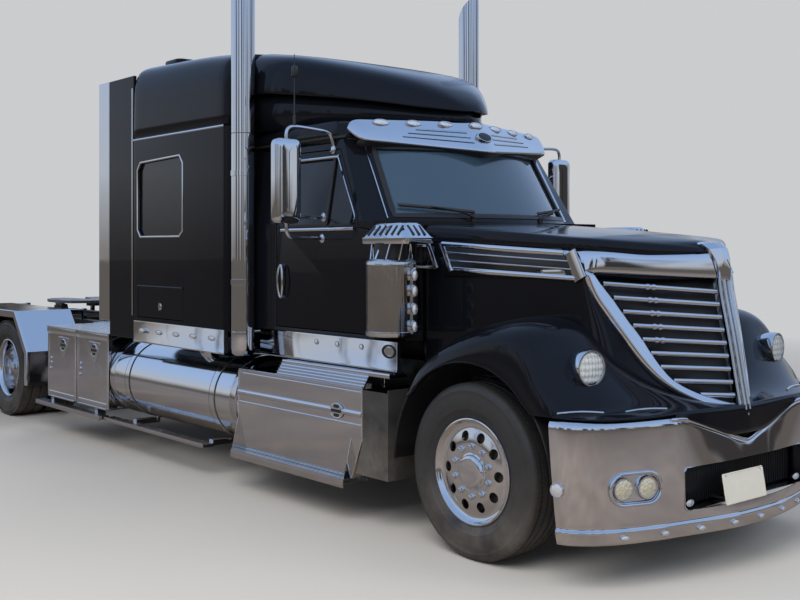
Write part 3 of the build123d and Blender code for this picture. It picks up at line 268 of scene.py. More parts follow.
# a second relief, laid over the finish that is there
for material, distance, height in ((drumMetal, 0.010, streakHeight), (fogLens, 0.006, cellHeight(55.0)),
                                   (lensClear, 0.003, cellHeight(120.0)), (lensGlass, 0.004, fluteHeight),
                                   (treadPlate, 0.004, diamondHeight), (seatLeather, 0.0006, leatherHeight),
                                   (bunkFabric, 0.0006, weaveHeight)):
    tree = material.node_tree
    normal = tree.nodes["Principled BSDF"].inputs["Normal"]
    place = next(node for node in tree.nodes if node.type == "TEX_COORD").outputs["Object"]
    under = normal.links[0].from_socket if normal.is_linked else None
    relief = addNode(tree, "ShaderNodeBump",
                     {"Distance": distance, "Height": height(tree, place), "Normal": under})
    tree.links.new(relief.outputs["Normal"], normal)
print("materials made")


# making a piece: a small mesh builder in front-axle lengths


def circle(count, wide, tall=None):
    # (across, up) pairs round a circle or an ellipse
    turns = [2 * math.pi * step / count for step in range(count)]
    return [(wide * math.cos(turn), (wide if tall is None else tall) * math.sin(turn)) for turn in turns]


class Shape:
    def __init__(self):
        self.mesh = bmesh.new()

    def grid(self, rows, loop=False, wrap=False):
        # rows of points become a sheet; loop closes each row, wrap joins the last row to the first
        verts = [[self.mesh.verts.new(point) for point in row] for row in rows]
        if wrap:
            verts.append(verts[0])
        for upper, lower in zip(verts[:-1], verts[1:]):
            for index in range(len(upper) if loop else len(upper) - 1):
                after = (index + 1) % len(upper)
                self.mesh.faces.new((upper[index], upper[after], lower[after], lower[index]))
        return verts

    def loft(self, rows):
        # closed rows, capped at both ends
        rings = self.grid(rows, loop=True)
        for ring in (rings[0], rings[-1]):
            self.mesh.faces.new(ring)
        return self

    def box(self, low, high):
        centre, size = (Vector(low) + Vector(high)) / 2, Vector(high) - Vector(low)
        for vert in bmesh.ops.create_cube(self.mesh, size=1.0)["verts"]:
            vert.co = vert.co * size + centre
        return self

    def lathe(self, profile, centre=(0, 0, 0), axis="X", segments=36, closed=False):
        # profile rows are (along the axis, radius), turned about the axis through centre
        rows = [[Vector(centre) + Vector({"X": (along, a, b), "Y": (b, along, a), "Z": (a, b, along)}[axis])
                 for a, b in circle(segments, radius)] for along, radius in profile]
        rings = self.grid(rows, loop=True, wrap=closed)
        for ring, (along, radius) in ((rings[0], profile[0]), (rings[-1], profile[-1])):
            if radius > 0.0005 and not closed:
                self.mesh.faces.new(ring)
        return self

    def tube(self, points, radius, sides=10, flat=1.0):
        # round bar along a run of points, with closed ends
        points = [Vector(point) for point in points]
        rings, side = [], None
        for index, point in enumerate(points):
            ahead = (points[min(index + 1, len(points) - 1)] - points[max(index - 1, 0)]).normalized()
            side = side or ahead.orthogonal().normalized()
            side = (side - ahead * side.dot(ahead)).normalized()
            up = ahead.cross(side)
            rings.append([point + radius * (a * side + flat * b * up) for a, b in circle(sides, 1.0)])
        return self.loft(rings)

    def prism(self, outline, depth):
        # closed outline of 3-D points, pushed by a vector
        near = [self.mesh.verts.new(point) for point in outline]
        far = [self.mesh.verts.new(Vector(point) + Vector(depth)) for point in outline]
        self.mesh.faces.new(near)
        self.mesh.faces.new(far[::-1])
        for index in range(len(near)):
            after = (index + 1) % len(near)
            self.mesh.faces.new((near[index], near[after], far[after], far[index]))
        return self

    def bar(self, start, end, tall, deep, up=(0, 0, 1)):
        # straight bar with chamfered edges
        start, end, up = Vector(start), Vector(end), Vector(up)
        along = (end - start).normalized()
        rise = (up - along * along.dot(up)).normalized()
        out = along.cross(rise)
        corners = ((1, 0.5), (0.5, 1), (-0.5, 1), (-1, 0.5), (-1, -0.5), (-0.5, -1), (0.5, -1), (1, -0.5))
        return self.prism([start + rise * (high * tall / 2) + out * (wide * deep / 2)
                           for high, wide in corners],
                          end - start)

    def ribbon(self, points, ups, outs, section):
        # one closed section of (up, out) pairs, carried along a run of points
        ups, outs = (way if isinstance(way, list) else [Vector(way)] * len(points) for way in (ups, outs))
        return self.loft([[Vector(point) + up * high + out * wide for high, wide in section]
                          for point, up, out in zip(points, ups, outs)])

    def bothSides(self):
        parts = self.mesh.verts[:] + self.mesh.edges[:] + self.mesh.faces[:]
        copy = bmesh.ops.duplicate(self.mesh, geom=parts)["geom"]
        for item in copy:
            if isinstance(item, bmesh.types.BMVert):
                item.co.y = -item.co.y
        bmesh.ops.reverse_faces(self.mesh,
                                faces=[item for item in copy if isinstance(item, bmesh.types.BMFace)])
        return self

    def onSide(self, side):
        # drawn for the left side, flipped over for the right one
        for vert in self.mesh.verts:
            vert.co.y *= side
        return self

    def weld(self, gap=0.0001):
        bmesh.ops.remove_doubles(self.mesh, verts=self.mesh.verts, dist=gap)
        return self

    def moved(self, place):
        self.mesh.transform(place)
        return self

    def add(self, part, place=Matrix()):
        # takes in another shape, put at a place
        mesh = part.toMesh("part", place=place)
        self.mesh.from_mesh(mesh)
        bpy.data.meshes.remove(mesh)

    def toMesh(self, name, solid=True, place=toFrame, facing=None):
        if solid:
            bmesh.ops.recalc_face_normals(self.mesh, faces=self.mesh.faces)
        if facing:
            lean = sum((face.normal.dot(Vector(facing)) * face.calc_area() for face in self.mesh.faces), 0.0)
            if lean < 0:
                bmesh.ops.reverse_faces(self.mesh, faces=self.mesh.faces)
        self.mesh.transform(place)
        made = bpy.data.meshes.new(name)
        self.mesh.to_mesh(made)
        self.mesh.free()
        return made

    def show(self, name, material, body="chassis", solid=True, facing=None, **finish):
        return showPiece(self.toMesh(name, solid, facing=facing), material, body, **finish)


def linked(name, mesh):
    item = bpy.data.objects.new(name, mesh)
    bpy.context.scene.collection.objects.link(item)
    return item


def flattened(item):
    # the object with its modifiers, as a plain mesh
    return bpy.data.meshes.new_from_object(item.evaluated_get(bpy.context.evaluated_depsgraph_get()))


def addModifier(piece, kind, **settings):
    modifier = piece.modifiers.new(kind.lower(), kind)
    for label, value in settings.items():
        setattr(modifier, label, value)
    return modifier


def showPiece(mesh, material, body="chassis", slot=None, name=None, angle=38, thick=0.0, subdivide=0,
              bevel=0.0, replaces=()):
    piece = linked(name or mesh.name, mesh)
    mesh.materials.clear()
    mesh.materials.append(material)
    mesh.shade_smooth()
    if subdivide:
        addModifier(piece, "SUBSURF", levels=subdivide, render_levels=subdivide)
    else:
        mesh.set_sharp_from_angle(angle=math.radians(angle))
    if thick:
        addModifier(piece, "SOLIDIFY", thickness=thick, offset=-1)
    if bevel:
        addModifier(piece, "BEVEL", width=bevel, segments=2, limit_method="ANGLE",
                    angle_limit=math.radians(angle), harden_normals=True)
    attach(piece, body)
    if replaces:
        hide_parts(*replaces)
    return piece


def softened(node, material, slot, width):
    # the CAD part's own faces, merged, with its edges rounded as pressed or welded sheet is
    work = bmesh.new()
    work.from_mesh(cad[node].data)
    bmesh.ops.remove_doubles(work, verts=work.verts, dist=0.00002)
    bmesh.ops.dissolve_limit(work, angle_limit=math.radians(0.6), verts=work.verts, edges=work.edges)
    mesh = bpy.data.meshes.new(node + "_soft")
    work.to_mesh(mesh)
    work.free()
    return showPiece(mesh, material, nodeBody[node], slot, angle=30, bevel=width, replaces=(node,))


def around(points, index):
    # from the point before to the point after, or from the end itself
    return Vector(points[min(index + 1, len(points) - 1)]) - Vector(points[max(index - 1, 0)])


def smoothRun(points, count):
    # even points on a smooth curve through the given ones
    points = [Vector(point) for point in points]
    out = []
    ends = [points[0] * 2 - points[1]] + points + [points[-1] * 2 - points[-2]]
    spans = len(points) - 1
    for step in range(count):
        full = step * spans / (count - 1)
        index = min(int(full), spans - 1)
        part = full - index
        a, b, c, d = ends[index:index + 4]
        out.append(0.5 * ((2 * b) + (c - a) * part + (2 * a - 5 * b + 4 * c - d) * part ** 2
                          + (3 * b - a - 3 * c + d) * part ** 3))
    return out


def lerp(rows, at):
    # value at a place in a table of (place, value), straight between rows
    for (x0, v0), (x1, v1) in zip(rows[:-1], rows[1:]):
        if (x0 <= at <= x1) or (x1 <= at <= x0):
            return v0 + (v1 - v0) * (at - x0) / (x1 - x0)
    first, last = rows[0], rows[-1]
    return first[1] if abs(at - first[0]) < abs(at - last[0]) else last[1]


def smoothAt(rows, at):
    # the same, on a smooth curve through the rows
    rows = sorted(rows)
    if at <= rows[0][0]:
        return rows[0][1]
    if at >= rows[-1][0]:
        return rows[-1][1]
    index = max(i for i in range(len(rows) - 1) if rows[i][0] <= at)

    def slope(i):
        low, high = rows[max(i - 1, 0)], rows[min(i + 1, len(rows) - 1)]
        return (high[1] - low[1]) / (high[0] - low[0])

    (x0, v0), (x1, v1) = rows[index], rows[index + 1]
    span = x1 - x0
    part = (at - x0) / span
    return (v0 * (2 * part ** 3 - 3 * part ** 2 + 1) + v1 * (3 * part ** 2 - 2 * part ** 3)
            + span * (slope(index) * (part ** 3 - 2 * part ** 2 + part) + slope(index + 1)
                      * (part ** 3 - part ** 2)))


def roundedLoop(half, tall, radius, steps=6):
    # (across, up) pairs round a rectangle with round corners
    points = []
    for corner, (side, up) in enumerate(((1, 1), (-1, 1), (-1, -1), (1, -1))):
        for step in range(steps + 1):
            turn = math.radians(corner * 90 + 90 * step / steps)
            points.append((side * (half - radius) + radius * math.cos(turn),
                           up * (tall - radius) + radius * math.sin(turn)))
    return points


def facing(origin, normal):
    # a place whose X looks along the normal, with Z kept as upright as it can be
    ahead = Vector(normal).normalized()
    side = upward.cross(ahead).normalized()
    return Matrix.Translation(Vector(origin)) @ Matrix((ahead, side, ahead.cross(side))).transposed().to_4x4()


def bothPlaces(spots, normal):
    # the same places on the left and on the right
    return [facing((x, side * y, z), (normal[0], side * normal[1], normal[2])) for side in (1, -1)
            for x, y, z in spots]


def showLamps(places, radius, lens, name, deep=0.02, wide=1.0, rim=0.16, replaces=()):
    # all the lamps of one kind: one piece for the bright rims, one for the domed lenses
    edge = radius * (1 - rim * 0.7)
    rims = ((-0.004, radius), (deep * 0.5, radius), (deep * 0.72, radius * (1 - rim * 0.3)),
            (deep * 0.72, radius * (1 - rim * 0.8)), (deep * 0.4, radius * (1 - rim)))
    domes = ((0.0, edge), (deep * 0.5, edge), (deep * 0.85, radius * 0.55), (deep, 0.0))
    for label, profile, finish, stands in (("_rim", rims, chromeBright, replaces),
                                           ("_lens", domes, lens, ())):
        whole = Shape()
        for place in places:
            whole.add(Shape().lathe(profile, segments=28).weld(), place @ Matrix.Diagonal((1, wide, 1, 1)))
        whole.show(name + label, finish, angle=40, replaces=stands)


# trees that repeat a part round a ring or along rows, and a cutter


def startTree(name, inputs):
    tree = bpy.data.node_groups.new(name, "GeometryNodeTree")
    for label, kind, value in (("Part", "Geometry", None), *inputs, ("Finish", "Material", None)):
        socket = tree.interface.new_socket(label, in_out="INPUT", socket_type="NodeSocket" + kind)
        if value is not None:
            socket.default_value = value
    tree.interface.new_socket("Parts", in_out="OUTPUT", socket_type="NodeSocketGeometry")
    return tree, tree.nodes.new("NodeGroupInput").outputs


def endTree(tree, given, copies):
    real = addNode(tree, "GeometryNodeRealizeInstances", {0: copies})
    finish = addNode(tree, "GeometryNodeSetMaterial",
                     {"Geometry": real.outputs[0], "Material": given["Finish"]})
    addNode(tree, "NodeGroupOutput", {0: finish.outputs[0]})
    return tree


def copiesNode(tree, points, part, turn=None):
    return addNode(tree, "GeometryNodeInstanceOnPoints",
                   {"Points": points, "Instance": part, "Rotation": turn}).outputs[0]


def makeRingTree():
    # Count copies of the part about Centre, each turned by Step more than the one before
    tree, given = startTree("partsInRing", (("Count", "Int", 10), ("Centre", "Vector", (0, 0, 0)),
                                            ("Step", "Vector", (0, 0.1, 0))))
    back = addNode(tree, "ShaderNodeVectorMath", {0: given["Centre"], "Scale": -1.0}, operation="SCALE")
    centred = addNode(tree, "GeometryNodeTransform",
                      {"Geometry": given["Part"], "Translation": back.outputs[0]})
    spots = addNode(tree, "GeometryNodePoints", {"Count": given["Count"], "Position": given["Centre"]})
    index = addNode(tree, "GeometryNodeInputIndex").outputs[0]
    turn = addNode(tree, "ShaderNodeVectorMath", {0: given["Step"], "Scale": index}, operation="SCALE")
    return endTree(tree, given, copiesNode(tree, spots.outputs[0], centred.outputs[0], turn.outputs[0]))


def makeRowTree():
    # Count copies set Step apart, and that row again Rows times, RowStep apart
    tree, given = startTree("partsInRows", (("Count", "Int", 10), ("Step", "Vector", (0.1, 0, 0)),
                                            ("Rows", "Int", 1), ("RowStep", "Vector", (0, 0, 0.1))))
    part = given["Part"]
    for many, step in (("Count", "Step"), ("Rows", "RowStep")):
        line = addNode(tree, "GeometryNodeMeshLine", {"Count": given[many], "Offset": given[step]},
                       mode="OFFSET")
        part = copiesNode(tree, line.outputs[0], part)
    return endTree(tree, given, part)


ringTree, rowTree = makeRingTree(), makeRowTree()


def repeated(part, tree, name, finish, **values):
    # the tree's result as a plain mesh
    mesh = part.toMesh("part")
    holder = linked(name, mesh)
    copies = addModifier(holder, "NODES", node_group=tree)
    values["Finish"] = finish
    for item in tree.interface.items_tree:
        if item.in_out == "INPUT" and item.name in values:
            copies[item.identifier] = values[item.name]
    made = flattened(holder)
    made.name = name
    bpy.data.objects.remove(holder)
    bpy.data.meshes.remove(mesh)
    return made


def inRing(part, name, centre, count, finish):
    return repeated(part, ringTree, name, finish, Count=count, Centre=tuple(toFrame @ Vector(centre)),
                    Step=(0.0, 2 * math.pi / count, 0.0))


def inRows(part, name, count, step, finish, rows=1, rowStep=(0, 0, 0.1)):
    return repeated(part, rowTree, name, finish, Count=count, Step=tuple(Vector(step)), Rows=rows,
                    RowStep=tuple(Vector(rowStep)))


def cutOut(mesh, cutter, subdivide=0, thick=0.0):
    # the sheet, made solid, less the cutter
    holder, tool = linked(mesh.name, mesh), linked("cutter", cutter)
    if subdivide:
        addModifier(holder, "SUBSURF", levels=subdivide, render_levels=subdivide)
    if thick:
        addModifier(holder, "SOLIDIFY", thickness=thick, offset=-1)
    addModifier(holder, "BOOLEAN", operation="DIFFERENCE", solver="EXACT", object=tool)
    made = flattened(holder)
    made.name = mesh.name + "_cut"
    for item in (holder, tool):
        bpy.data.objects.remove(item)
    for spare in (mesh, cutter):
        bpy.data.meshes.remove(spare)
    return made


# camera, floor and light

stage = {"cameraAt": (4.4354, -5.4038, 1.7736), "turn": 49.964, "lens": 48.64, "shiftUp": -0.0647,
         "floorSize": 140, "floor": (0.52, 0.51, 0.495), "backdrop": (0.60, 0.605, 0.615),
         "ground": (0.13, 0.115, 0.105), "paving": (0.13, 0.10, 0.085), "pavingPale": (0.34, 0.29, 0.25),
         "nearFloor": 7.5, "farFloor": 15.0, "uprights": 5.5, "gap": (0.045, 0.042, 0.042),
         "soft": (0.52, 0.52, 0.53),
         "room": ((0.0, (0.26, 0.24, 0.23)), (0.07, (0.52, 0.56, 0.62)), (0.30, (0.40, 0.55, 0.84)),
                  (1.0, (0.26, 0.40, 0.68))),  # height up the room, colour
         "lamps": (("key", (3.0, -7.5, 8.0), 7.0, 1050.0, (1.0, 0.97, 0.92)),
                   ("fill", (9.5, 3.0, 6.0), 5.0, 330.0, (0.86, 0.92, 1.0)),
                   ("rear", (-9.0, 5.0, 7.5), 6.0, 330.0,
                    (1.0, 1.0, 1.0)))}  # name, place, size, power, colour


def makeCamera():
    view = bpy.data.cameras.new("photoView")
    view.lens = stage["lens"]
    view.sensor_width = 36.0
    view.shift_y = stage["shiftUp"]
    view.clip_start, view.clip_end = 0.1, 300.0
    camera = linked("photoView", view)
    camera.location = toFrame @ Vector(stage["cameraAt"])
    camera.rotation_euler = (math.pi / 2, 0, math.radians(stage["turn"]))
    bpy.context.scene.camera = camera


def makeFloor():
    ground = Shape()
    ends = (-stage["floorSize"], stage["floorSize"])
    ground.grid([[(x, y, 0.0) for x in ends] for y in ends[::-1]])
    mesh = ground.toMesh("studioFloor", place=Matrix.Identity(4), solid=False)
    material, tree, shader, place = startMaterial("studioFloor", {"Specular IOR Level": 0.25})
    pale = mixColour(tree, noiseNode(tree, place, 0.6, 4.0), stage["floor"],
                     [part * 1.04 for part in stage["floor"]])
    warm = mixColour(tree, noiseNode(tree, place, 1.6, 5.0), stage["paving"], stage["pavingPale"])
    rays = addNode(tree, "ShaderNodeLightPath").outputs
    tree.links.new(mixColour(tree, rays["Is Glossy Ray"], pale, warm), shader.inputs["Base Color"])
    tree.links.new(groupNode(tree, handSmear, place, Scale=0.8, Low=0.55, High=0.75),
                   shader.inputs["Roughness"])
    # far off, the floor runs into the backdrop for what is seen straight, mirrored or through glass
    reach = addNode(tree, "ShaderNodeVectorMath", {0: place}, operation="LENGTH").outputs["Value"]
    away = mathNode(tree, "SUBTRACT", reach, stage["nearFloor"])
    share = mathNode(tree, "DIVIDE", away, stage["farFloor"] - stage["nearFloor"], clamp=True)
    seen = mathNode(tree, "MAXIMUM", rays["Is Camera Ray"], rays["Is Transmission Ray"])
    seen = mathNode(tree, "MAXIMUM", seen, rays["Is Glossy Ray"])
    far = mixColour(tree, rays["Is Camera Ray"], stage["ground"], stage["backdrop"])
    glow = addNode(tree, "ShaderNodeEmission", {"Color": far})
    join = addNode(tree, "ShaderNodeMixShader",
                   {0: mathNode(tree, "MULTIPLY", share, seen), 1: shader.outputs[0],
                                                 2: glow.outputs[0]})
    tree.links.new(join.outputs[0], tree.nodes["Material Output"].inputs["Surface"])
    mesh.materials.append(material)
    linked("studioFloor", mesh)


def makeRoom():
    world = bpy.data.worlds.new("softRoom")
    bpy.context.scene.world = world
    world.use_nodes = True
    tree = world.node_tree
    way = addNode(tree, "ShaderNodeTexCoord").outputs["Generated"]
    height = addNode(tree, "ShaderNodeSeparateXYZ", {0: way}).outputs["Z"]
    ramp = addNode(tree, "ShaderNodeValToRGB", {0: height})
    for index, (place, colour) in enumerate(stage["room"]):
        stops = ramp.color_ramp.elements
        stop = stops[index] if index < 2 else stops.new(place)
        stop.position, stop.color = place, (*colour, 1.0)
    # dark uprights round the room, which only the bright metal shows
    uprights = noiseNode(tree, stretchNode(tree, way, (1.0, 1.0, 0.18)), stage["uprights"], 4.0, 0.6)
    dark = mathNode(tree, "MULTIPLY", mathNode(tree, "SUBTRACT", uprights, 0.47), 9.0, clamp=True)
    above = mathNode(tree, "DIVIDE", mathNode(tree, "SUBTRACT", 0.34, height), 0.12, clamp=True)
    room = mixColour(tree, mathNode(tree, "MULTIPLY", dark, above), ramp.outputs[0], stage["gap"])
    # plain light on the object, the room in bright metal, and the backdrop behind
    rays = addNode(tree, "ShaderNodeLightPath").outputs
    lit = mixColour(tree, rays["Is Diffuse Ray"], room, stage["soft"])
    tree.links.new(mixColour(tree, rays["Is Camera Ray"], lit, stage["backdrop"]),
                   tree.nodes["Background"].inputs["Color"])
    for name, where, size, power, colour in stage["lamps"]:
        lamp = bpy.data.lights.new(name, "AREA")
        lamp.size, lamp.energy, lamp.color = size, power, colour
        holder = linked(name, lamp)
        holder.location = toFrame @ Vector(where)
        aim = toFrame @ Vector((-3.0, 0, 1.2)) - holder.location
        holder.rotation_euler = aim.to_track_quat("-Z", "Y").to_euler()
        holder.visible_glossy = False
    bpy.context.scene.view_settings.view_transform = "Standard"


makeCamera()
makeFloor()
makeRoom()
print("stage set")


# CAD parts that stay as they are, and those that get rounded edges, by finish

plainNodes = {frameBlack: ("front_axle", "drive_axles", "rear_suspension", "tie_rod", "knuckle_left",
                           "knuckle_right", "drive_shafts", "fifth_wheel_base"),
              windowTintAndShade: ("windshield",),
              windowDark: ("door_glass_left", "door_glass_right", "sleeper_windows"),
              flapRubber: ("mud_flaps",), greasePlate: ("fifth_wheel_plate",)}
# finish, then each node with its edge radius
roundedNodes = ((frameBlack,
                 {"frame_rails": 0.003, "engine_block": 0.012, "radiator": 0.006, "tail_light_bar": 0.006}),
                (paintBlack, {"cab_shell": 0.012, "cab_door_left": 0.005, "cab_door_right": 0.005,
                              "sleeper_shell": 0.008, "side_extenders": 0.006, "luggage_door_left": 0.005,
                              "luggage_door_right": 0.005}),
                (chromeBright, {"extender_trims": 0.006}),
                (boxSteel, {"tool_boxes": 0.004, "tool_door_front_left": 0.005,
                            "tool_door_front_right": 0.005, "tool_door_rear_left": 0.005,
                            "tool_door_rear_right": 0.005}),
                (tankMetal, {"fuel_tanks": 0.004}), (chromeSheet, {"rear_fenders": 0.002}),
                (treadPlate, {"deck_plate": 0.002}),
                (cabinPlastic, {"dashboard": 0.010, "cabin_bases": 0.008}))


def onlyMaterial(node, material):
    cad[node].data.materials.clear()
    cad[node].data.materials.append(material)


for material, nodes in plainNodes.items():
    for node in nodes:
        onlyMaterial(node, material)
for material, nodes in roundedNodes:
    for node, width in nodes.items():
        piece = softened(node, material, "polished" if node == "rear_fenders" else None, width)
        if node == "frame_rails":
            # the tips of the hood's hinge bars stay behind the raked bumper
            for vert in piece.data.vertices:
                if vert.co.x - truck["axleX"] > 0.96 and abs(vert.co.y) < 0.20 and vert.co.z > 0.6:
                    vert.co.x -= 0.040
                    vert.co.z -= 0.022
                    if abs(vert.co.y) < 0.150:
                        vert.co.y = math.copysign(0.158, vert.co.y)
print("frame parts finished")


def sheetOf(rows, loop=False, wrap=False):
    shape = Shape()
    shape.grid(rows, loop, wrap)
    return shape


# the hood's skin: lower sides, the lid over them, and both run into the V front

hood = {"cowlX": -0.74, "cowlHalf": 0.85, "cornerHalf": 0.712, "sideRun": 1.21, "slope": 0.61, "round": 0.10,
        "wall": 0.006, "lidStep": 0.014}
hoodFall = (hood["cowlHalf"] - hood["cornerHalf"]) / hood["sideRun"]
hoodTop = ((-0.74, 1.950), (0, 1.898), (0.45, 1.858), (0.73, 1.820), (0.85, 1.798), (0.885, 1.785))  # x, z
lidLow = ((-0.74, 1.822), (0.45, 1.770), (0.63, 1.739), (0.78, 1.744), (0.9, 1.765))  # x, z
prowLine = ((1.80, 0.868), (1.574, 0.885), (1.252, 0.955), (1.05, 0.992), (0.97, 1.008),
            (0.80, 1.040))  # z, x
surroundOuter = ((1.70, 0.716), (1.644, 0.716), (1.496, 0.682), (1.395, 0.638), (1.219, 0.552),
                 (1.117, 0.498), (1.016, 0.42), (0.948, 0.325), (0.885, 0.20), (0.84, 0.09),
                 (0.815, 0.0))  # z, y
surroundInner = ((1.628, 0.655), (1.56, 0.614), (1.495, 0.577), (1.384, 0.524), (1.282, 0.469),
                 (1.162, 0.418), (1.051, 0.354), (0.985, 0.267), (0.93, 0.142), (0.89, 0.0))  # z, y
# lower sides: height at the cowl, height at the nose
sideRows = ((1.02, 0.90), (1.10, 0.98), (1.20, 1.08), (1.32, 1.20), (1.44, 1.34), (1.55, 1.48), (1.64, 1.60),
            (1.72, 1.69))


def noseX(y, z):
    return lerp(prowLine, z) - hood["slope"] * abs(y)


def hoodSideAt(x, lift=0.0):
    return hood["cowlHalf"] - hoodFall * (x - hood["cowlX"]) + lift


def hoodPath(z, endHalf, counts=(12, 7, 10)):
    # plan of the skin at one height: along the side, round the corner and in along the V front
    prow = lerp(prowLine, z)
    cornerX = (prow - hood["slope"] * hoodSideAt(0.0)) / (1 - hood["slope"] * hoodFall)
    corner = Vector((cornerX, hoodSideAt(cornerX)))
    start = Vector((hood["cowlX"], hood["cowlHalf"]))
    reach = max(0.004, min(hood["round"], 0.8 * (corner.y - endHalf)))
    near = corner + (start - corner).normalized() * reach
    far = corner + (Vector((prow, 0)) - corner).normalized() * reach
    end = Vector((prow - hood["slope"] * endHalf, endHalf))
    path = [start.lerp(near, step / counts[0]) for step in range(counts[0])]
    for step in range(counts[1]):
        part = step / counts[1]
        path.append(near.lerp(corner, part).lerp(corner.lerp(far, part), part))
    return path + [far.lerp(end, step / counts[2]) for step in range(counts[2] + 1)]


def inward(path, amount):
    # the same plan, moved in from the skin
    moved = []
    for index, point in enumerate(path):
        ahead = around(path, index)
        normal = Vector((ahead.y, -ahead.x)).normalized()
        moved.append(point + (normal if normal.dot(Vector((-1, -1))) >= 0 else -normal) * amount)
    return moved


def makeHoodSkin():
    rows = []
    for cowlZ, noseZ in sideRows:
        path = hoodPath(noseZ, max(0.01, lerp(surroundOuter, noseZ) - 0.012))
        last = len(path) - 1
        rows.append([(p.x, p.y, cowlZ + (noseZ - cowlZ) * min(1, index * 1.6 / last))
                     for index, p in enumerate(path)])
    sheetOf(rows).bothSides().show("hood_sides", paintBlack, "hood", subdivide=2, thick=hood["wall"])
    path = hoodPath(1.76, 0.0)
    rings = []
    for step, lift in ((hood["lidStep"], -0.15), (hood["lidStep"], -0.01), (0.001, 0.0), (-0.003, 0.012)):
        rings.append([(p.x, max(p.y, 0), lerp(lidLow, p.x) + lift) for p in inward(path, step)])
    for step, drop in ((-0.002, 0.058), (0.010, 0.034), (0.030, 0.026)):
        rings.append([(p.x, max(p.y, 0), lerp(hoodTop, p.x) - drop) for p in inward(path, step)])
    inner = inward(path, 0.030)
    for wide in (0.9, 0.75, 0.55, 0.3, 0.12, 0.0):
        rings.append([(p.x, max(p.y, 0) * wide, lerp(hoodTop, p.x) - 0.026 * wide ** 2) for p in inner])
    sheetOf(rings).bothSides().weld(0.0004).show("hood_lid", paintBlack, "hood", subdivide=2,
                                                 thick=hood["wall"], replaces=("hood",))


# the bright band over the grille, the beak on the prow and the vent band down each side

noseBand = {"out": 0.012, "turnIn": 0.035}
beak = ((0.795, 1.812, 0.075), (0.862, 1.806, 0.086), (0.905, 1.775, 0.080), (0.926, 1.712, 0.062),
        (0.934, 1.640, 0.046), (0.930, 1.590, 0.034))  # x, z, half width
sideBand = {"rear": -0.60, "front": 0.315,
            "rails": ((0.172, 0.034), (0.122, 0.014), (0.072, 0.014), (0.016, 0.032)),
            "ends": ((-0.60, 1.627, 0.036, 0.022, 0.180), (0.349, 1.596, 0.085, 0.014, 0.156)),
            "frame": ((-0.90, 1.79), (-0.685, 1.79), (-0.615, 1.655), (-0.86, 1.655))}


def makeNoseBand():
    path = hoodPath(1.70, 0.0)[10:]
    rows = []
    for step, rise in ((noseBand["turnIn"], 0), (-0.004, 0), (-noseBand["out"], 0.01),
                       (-noseBand["out"], 0.06), (-0.006, None), (0.010, None)):
        row = []
        for p in inward(path, step):
            low = 1.596 + 0.055 * abs(p.y) - 0.03 * max(0.0, (p.y - 0.66) / 0.08)
            z = lerp(lidLow, p.x) - 0.002 if rise is None else low + rise
            rear = max(0.0, (0.50 - p.x) / 0.15)  # the rear edge leans as the vent band does
            row.append((p.x - 0.5 * min(1, rear) * (z - low), max(p.y, 0), z))
        rows.append(row)
    sheetOf(rows).bothSides().weld(0.0004).show("nose_band", chromeBright, "hood", subdivide=1, thick=0.003)
    rows = []
    for x, z, half in beak:
        edge = x - hood["slope"] * half - 0.012
        rows.append([(edge - 0.02, half * 0.98, z - 0.012), (edge, half, z - 0.006),
                     (x - 0.016, half * 0.45, z), (x, 0, z)])
    sheetOf(rows).bothSides().weld(0.0004).show("nose_beak", chromeBright, "hood", angle=20, thick=0.004,
                                                bevel=0.004)


def makeSideBand():
    bands, mesh = Shape(), Shape()
    rear, front = sideBand["rear"], sideBand["front"]
    for high, tall in sideBand["rails"]:
        lean = 0.10 * (1 - high / 0.19)
        bands.bar((rear + lean, hoodSideAt(rear + lean, 0.004), 1.627 + high),
                  (front + lean, hoodSideAt(front + lean, 0.004), 1.588 + high * 0.92), tall, 0.022)
    for x, z, wide, deep, tall in sideBand["ends"]:
        y = hoodSideAt(x, 0.002)
        bands.bar((x + 0.095, y, z + 0.002), (x + 0.095 - tall / 2, y, z + 0.002 + tall), wide, deep,
                  up=(1, 0, 0))
    # parallelogram frame between the band and the air cleaner
    spots, y = sideBand["frame"], hoodSideAt(hood["cowlX"], 0.015)
    for (x0, z0), (x1, z1) in zip(spots, spots[1:] + spots[:1]):
        up, wide = ((0, 0, 1), 0.026) if abs(z0 - z1) < 0.01 else ((1, 0, 0), 0.042)
        over = Vector((x1 - x0, 0, z1 - z0)).normalized() * 0.012
        bands.bar(Vector((x0, y, z0)) - over, Vector((x1, y, z1)) + over, wide, 0.024, up=up)
    bands.bothSides().show("hood_vent_bands", chromeBright, "hood", bevel=0.002)
    for x0, x1, z0, z1, lean in ((rear + 0.03, front + 0.085, 1.60, 1.775, 0.09),
                                 (-0.89, -0.66, 1.66, 1.785, 0.0)):
        lift = 0.009 if lean else -0.002
        mesh.grid([[(x0, hoodSideAt(max(x0, hood["cowlX"]), lift), z),
                    (x1 - slant, hoodSideAt(x1 - slant, lift), z)]
                   for z, slant in ((z0, 0.0), (z1, lean))])
    mesh.bothSides().show("hood_vent_mesh", trimBlack, "hood", thick=0.002)


makeHoodSkin()
makeNoseBand()
makeSideBand()


# the grille in the V front: surround, bars, spine and the dark screen behind

grille = {"bars": 9, "topBar": 1.522, "pitch": 0.0726, "tall": 0.032, "deep": 0.030, "back": 0.022,
          "spineHalf": 0.035, "links": (0.355, 0.385), "screen": (1.64, 1.4, 1.15, 1.0, 0.9, 0.86)}
surroundSection = ((0.0, -0.006), (0.05, 0.014), (0.20, 0.030), (0.46, 0.032), (0.58, 0.020), (0.88, 0.018),
                   (1.0, 0.004), (1.0, -0.05))  # share from outer to inner edge, height off the V plane


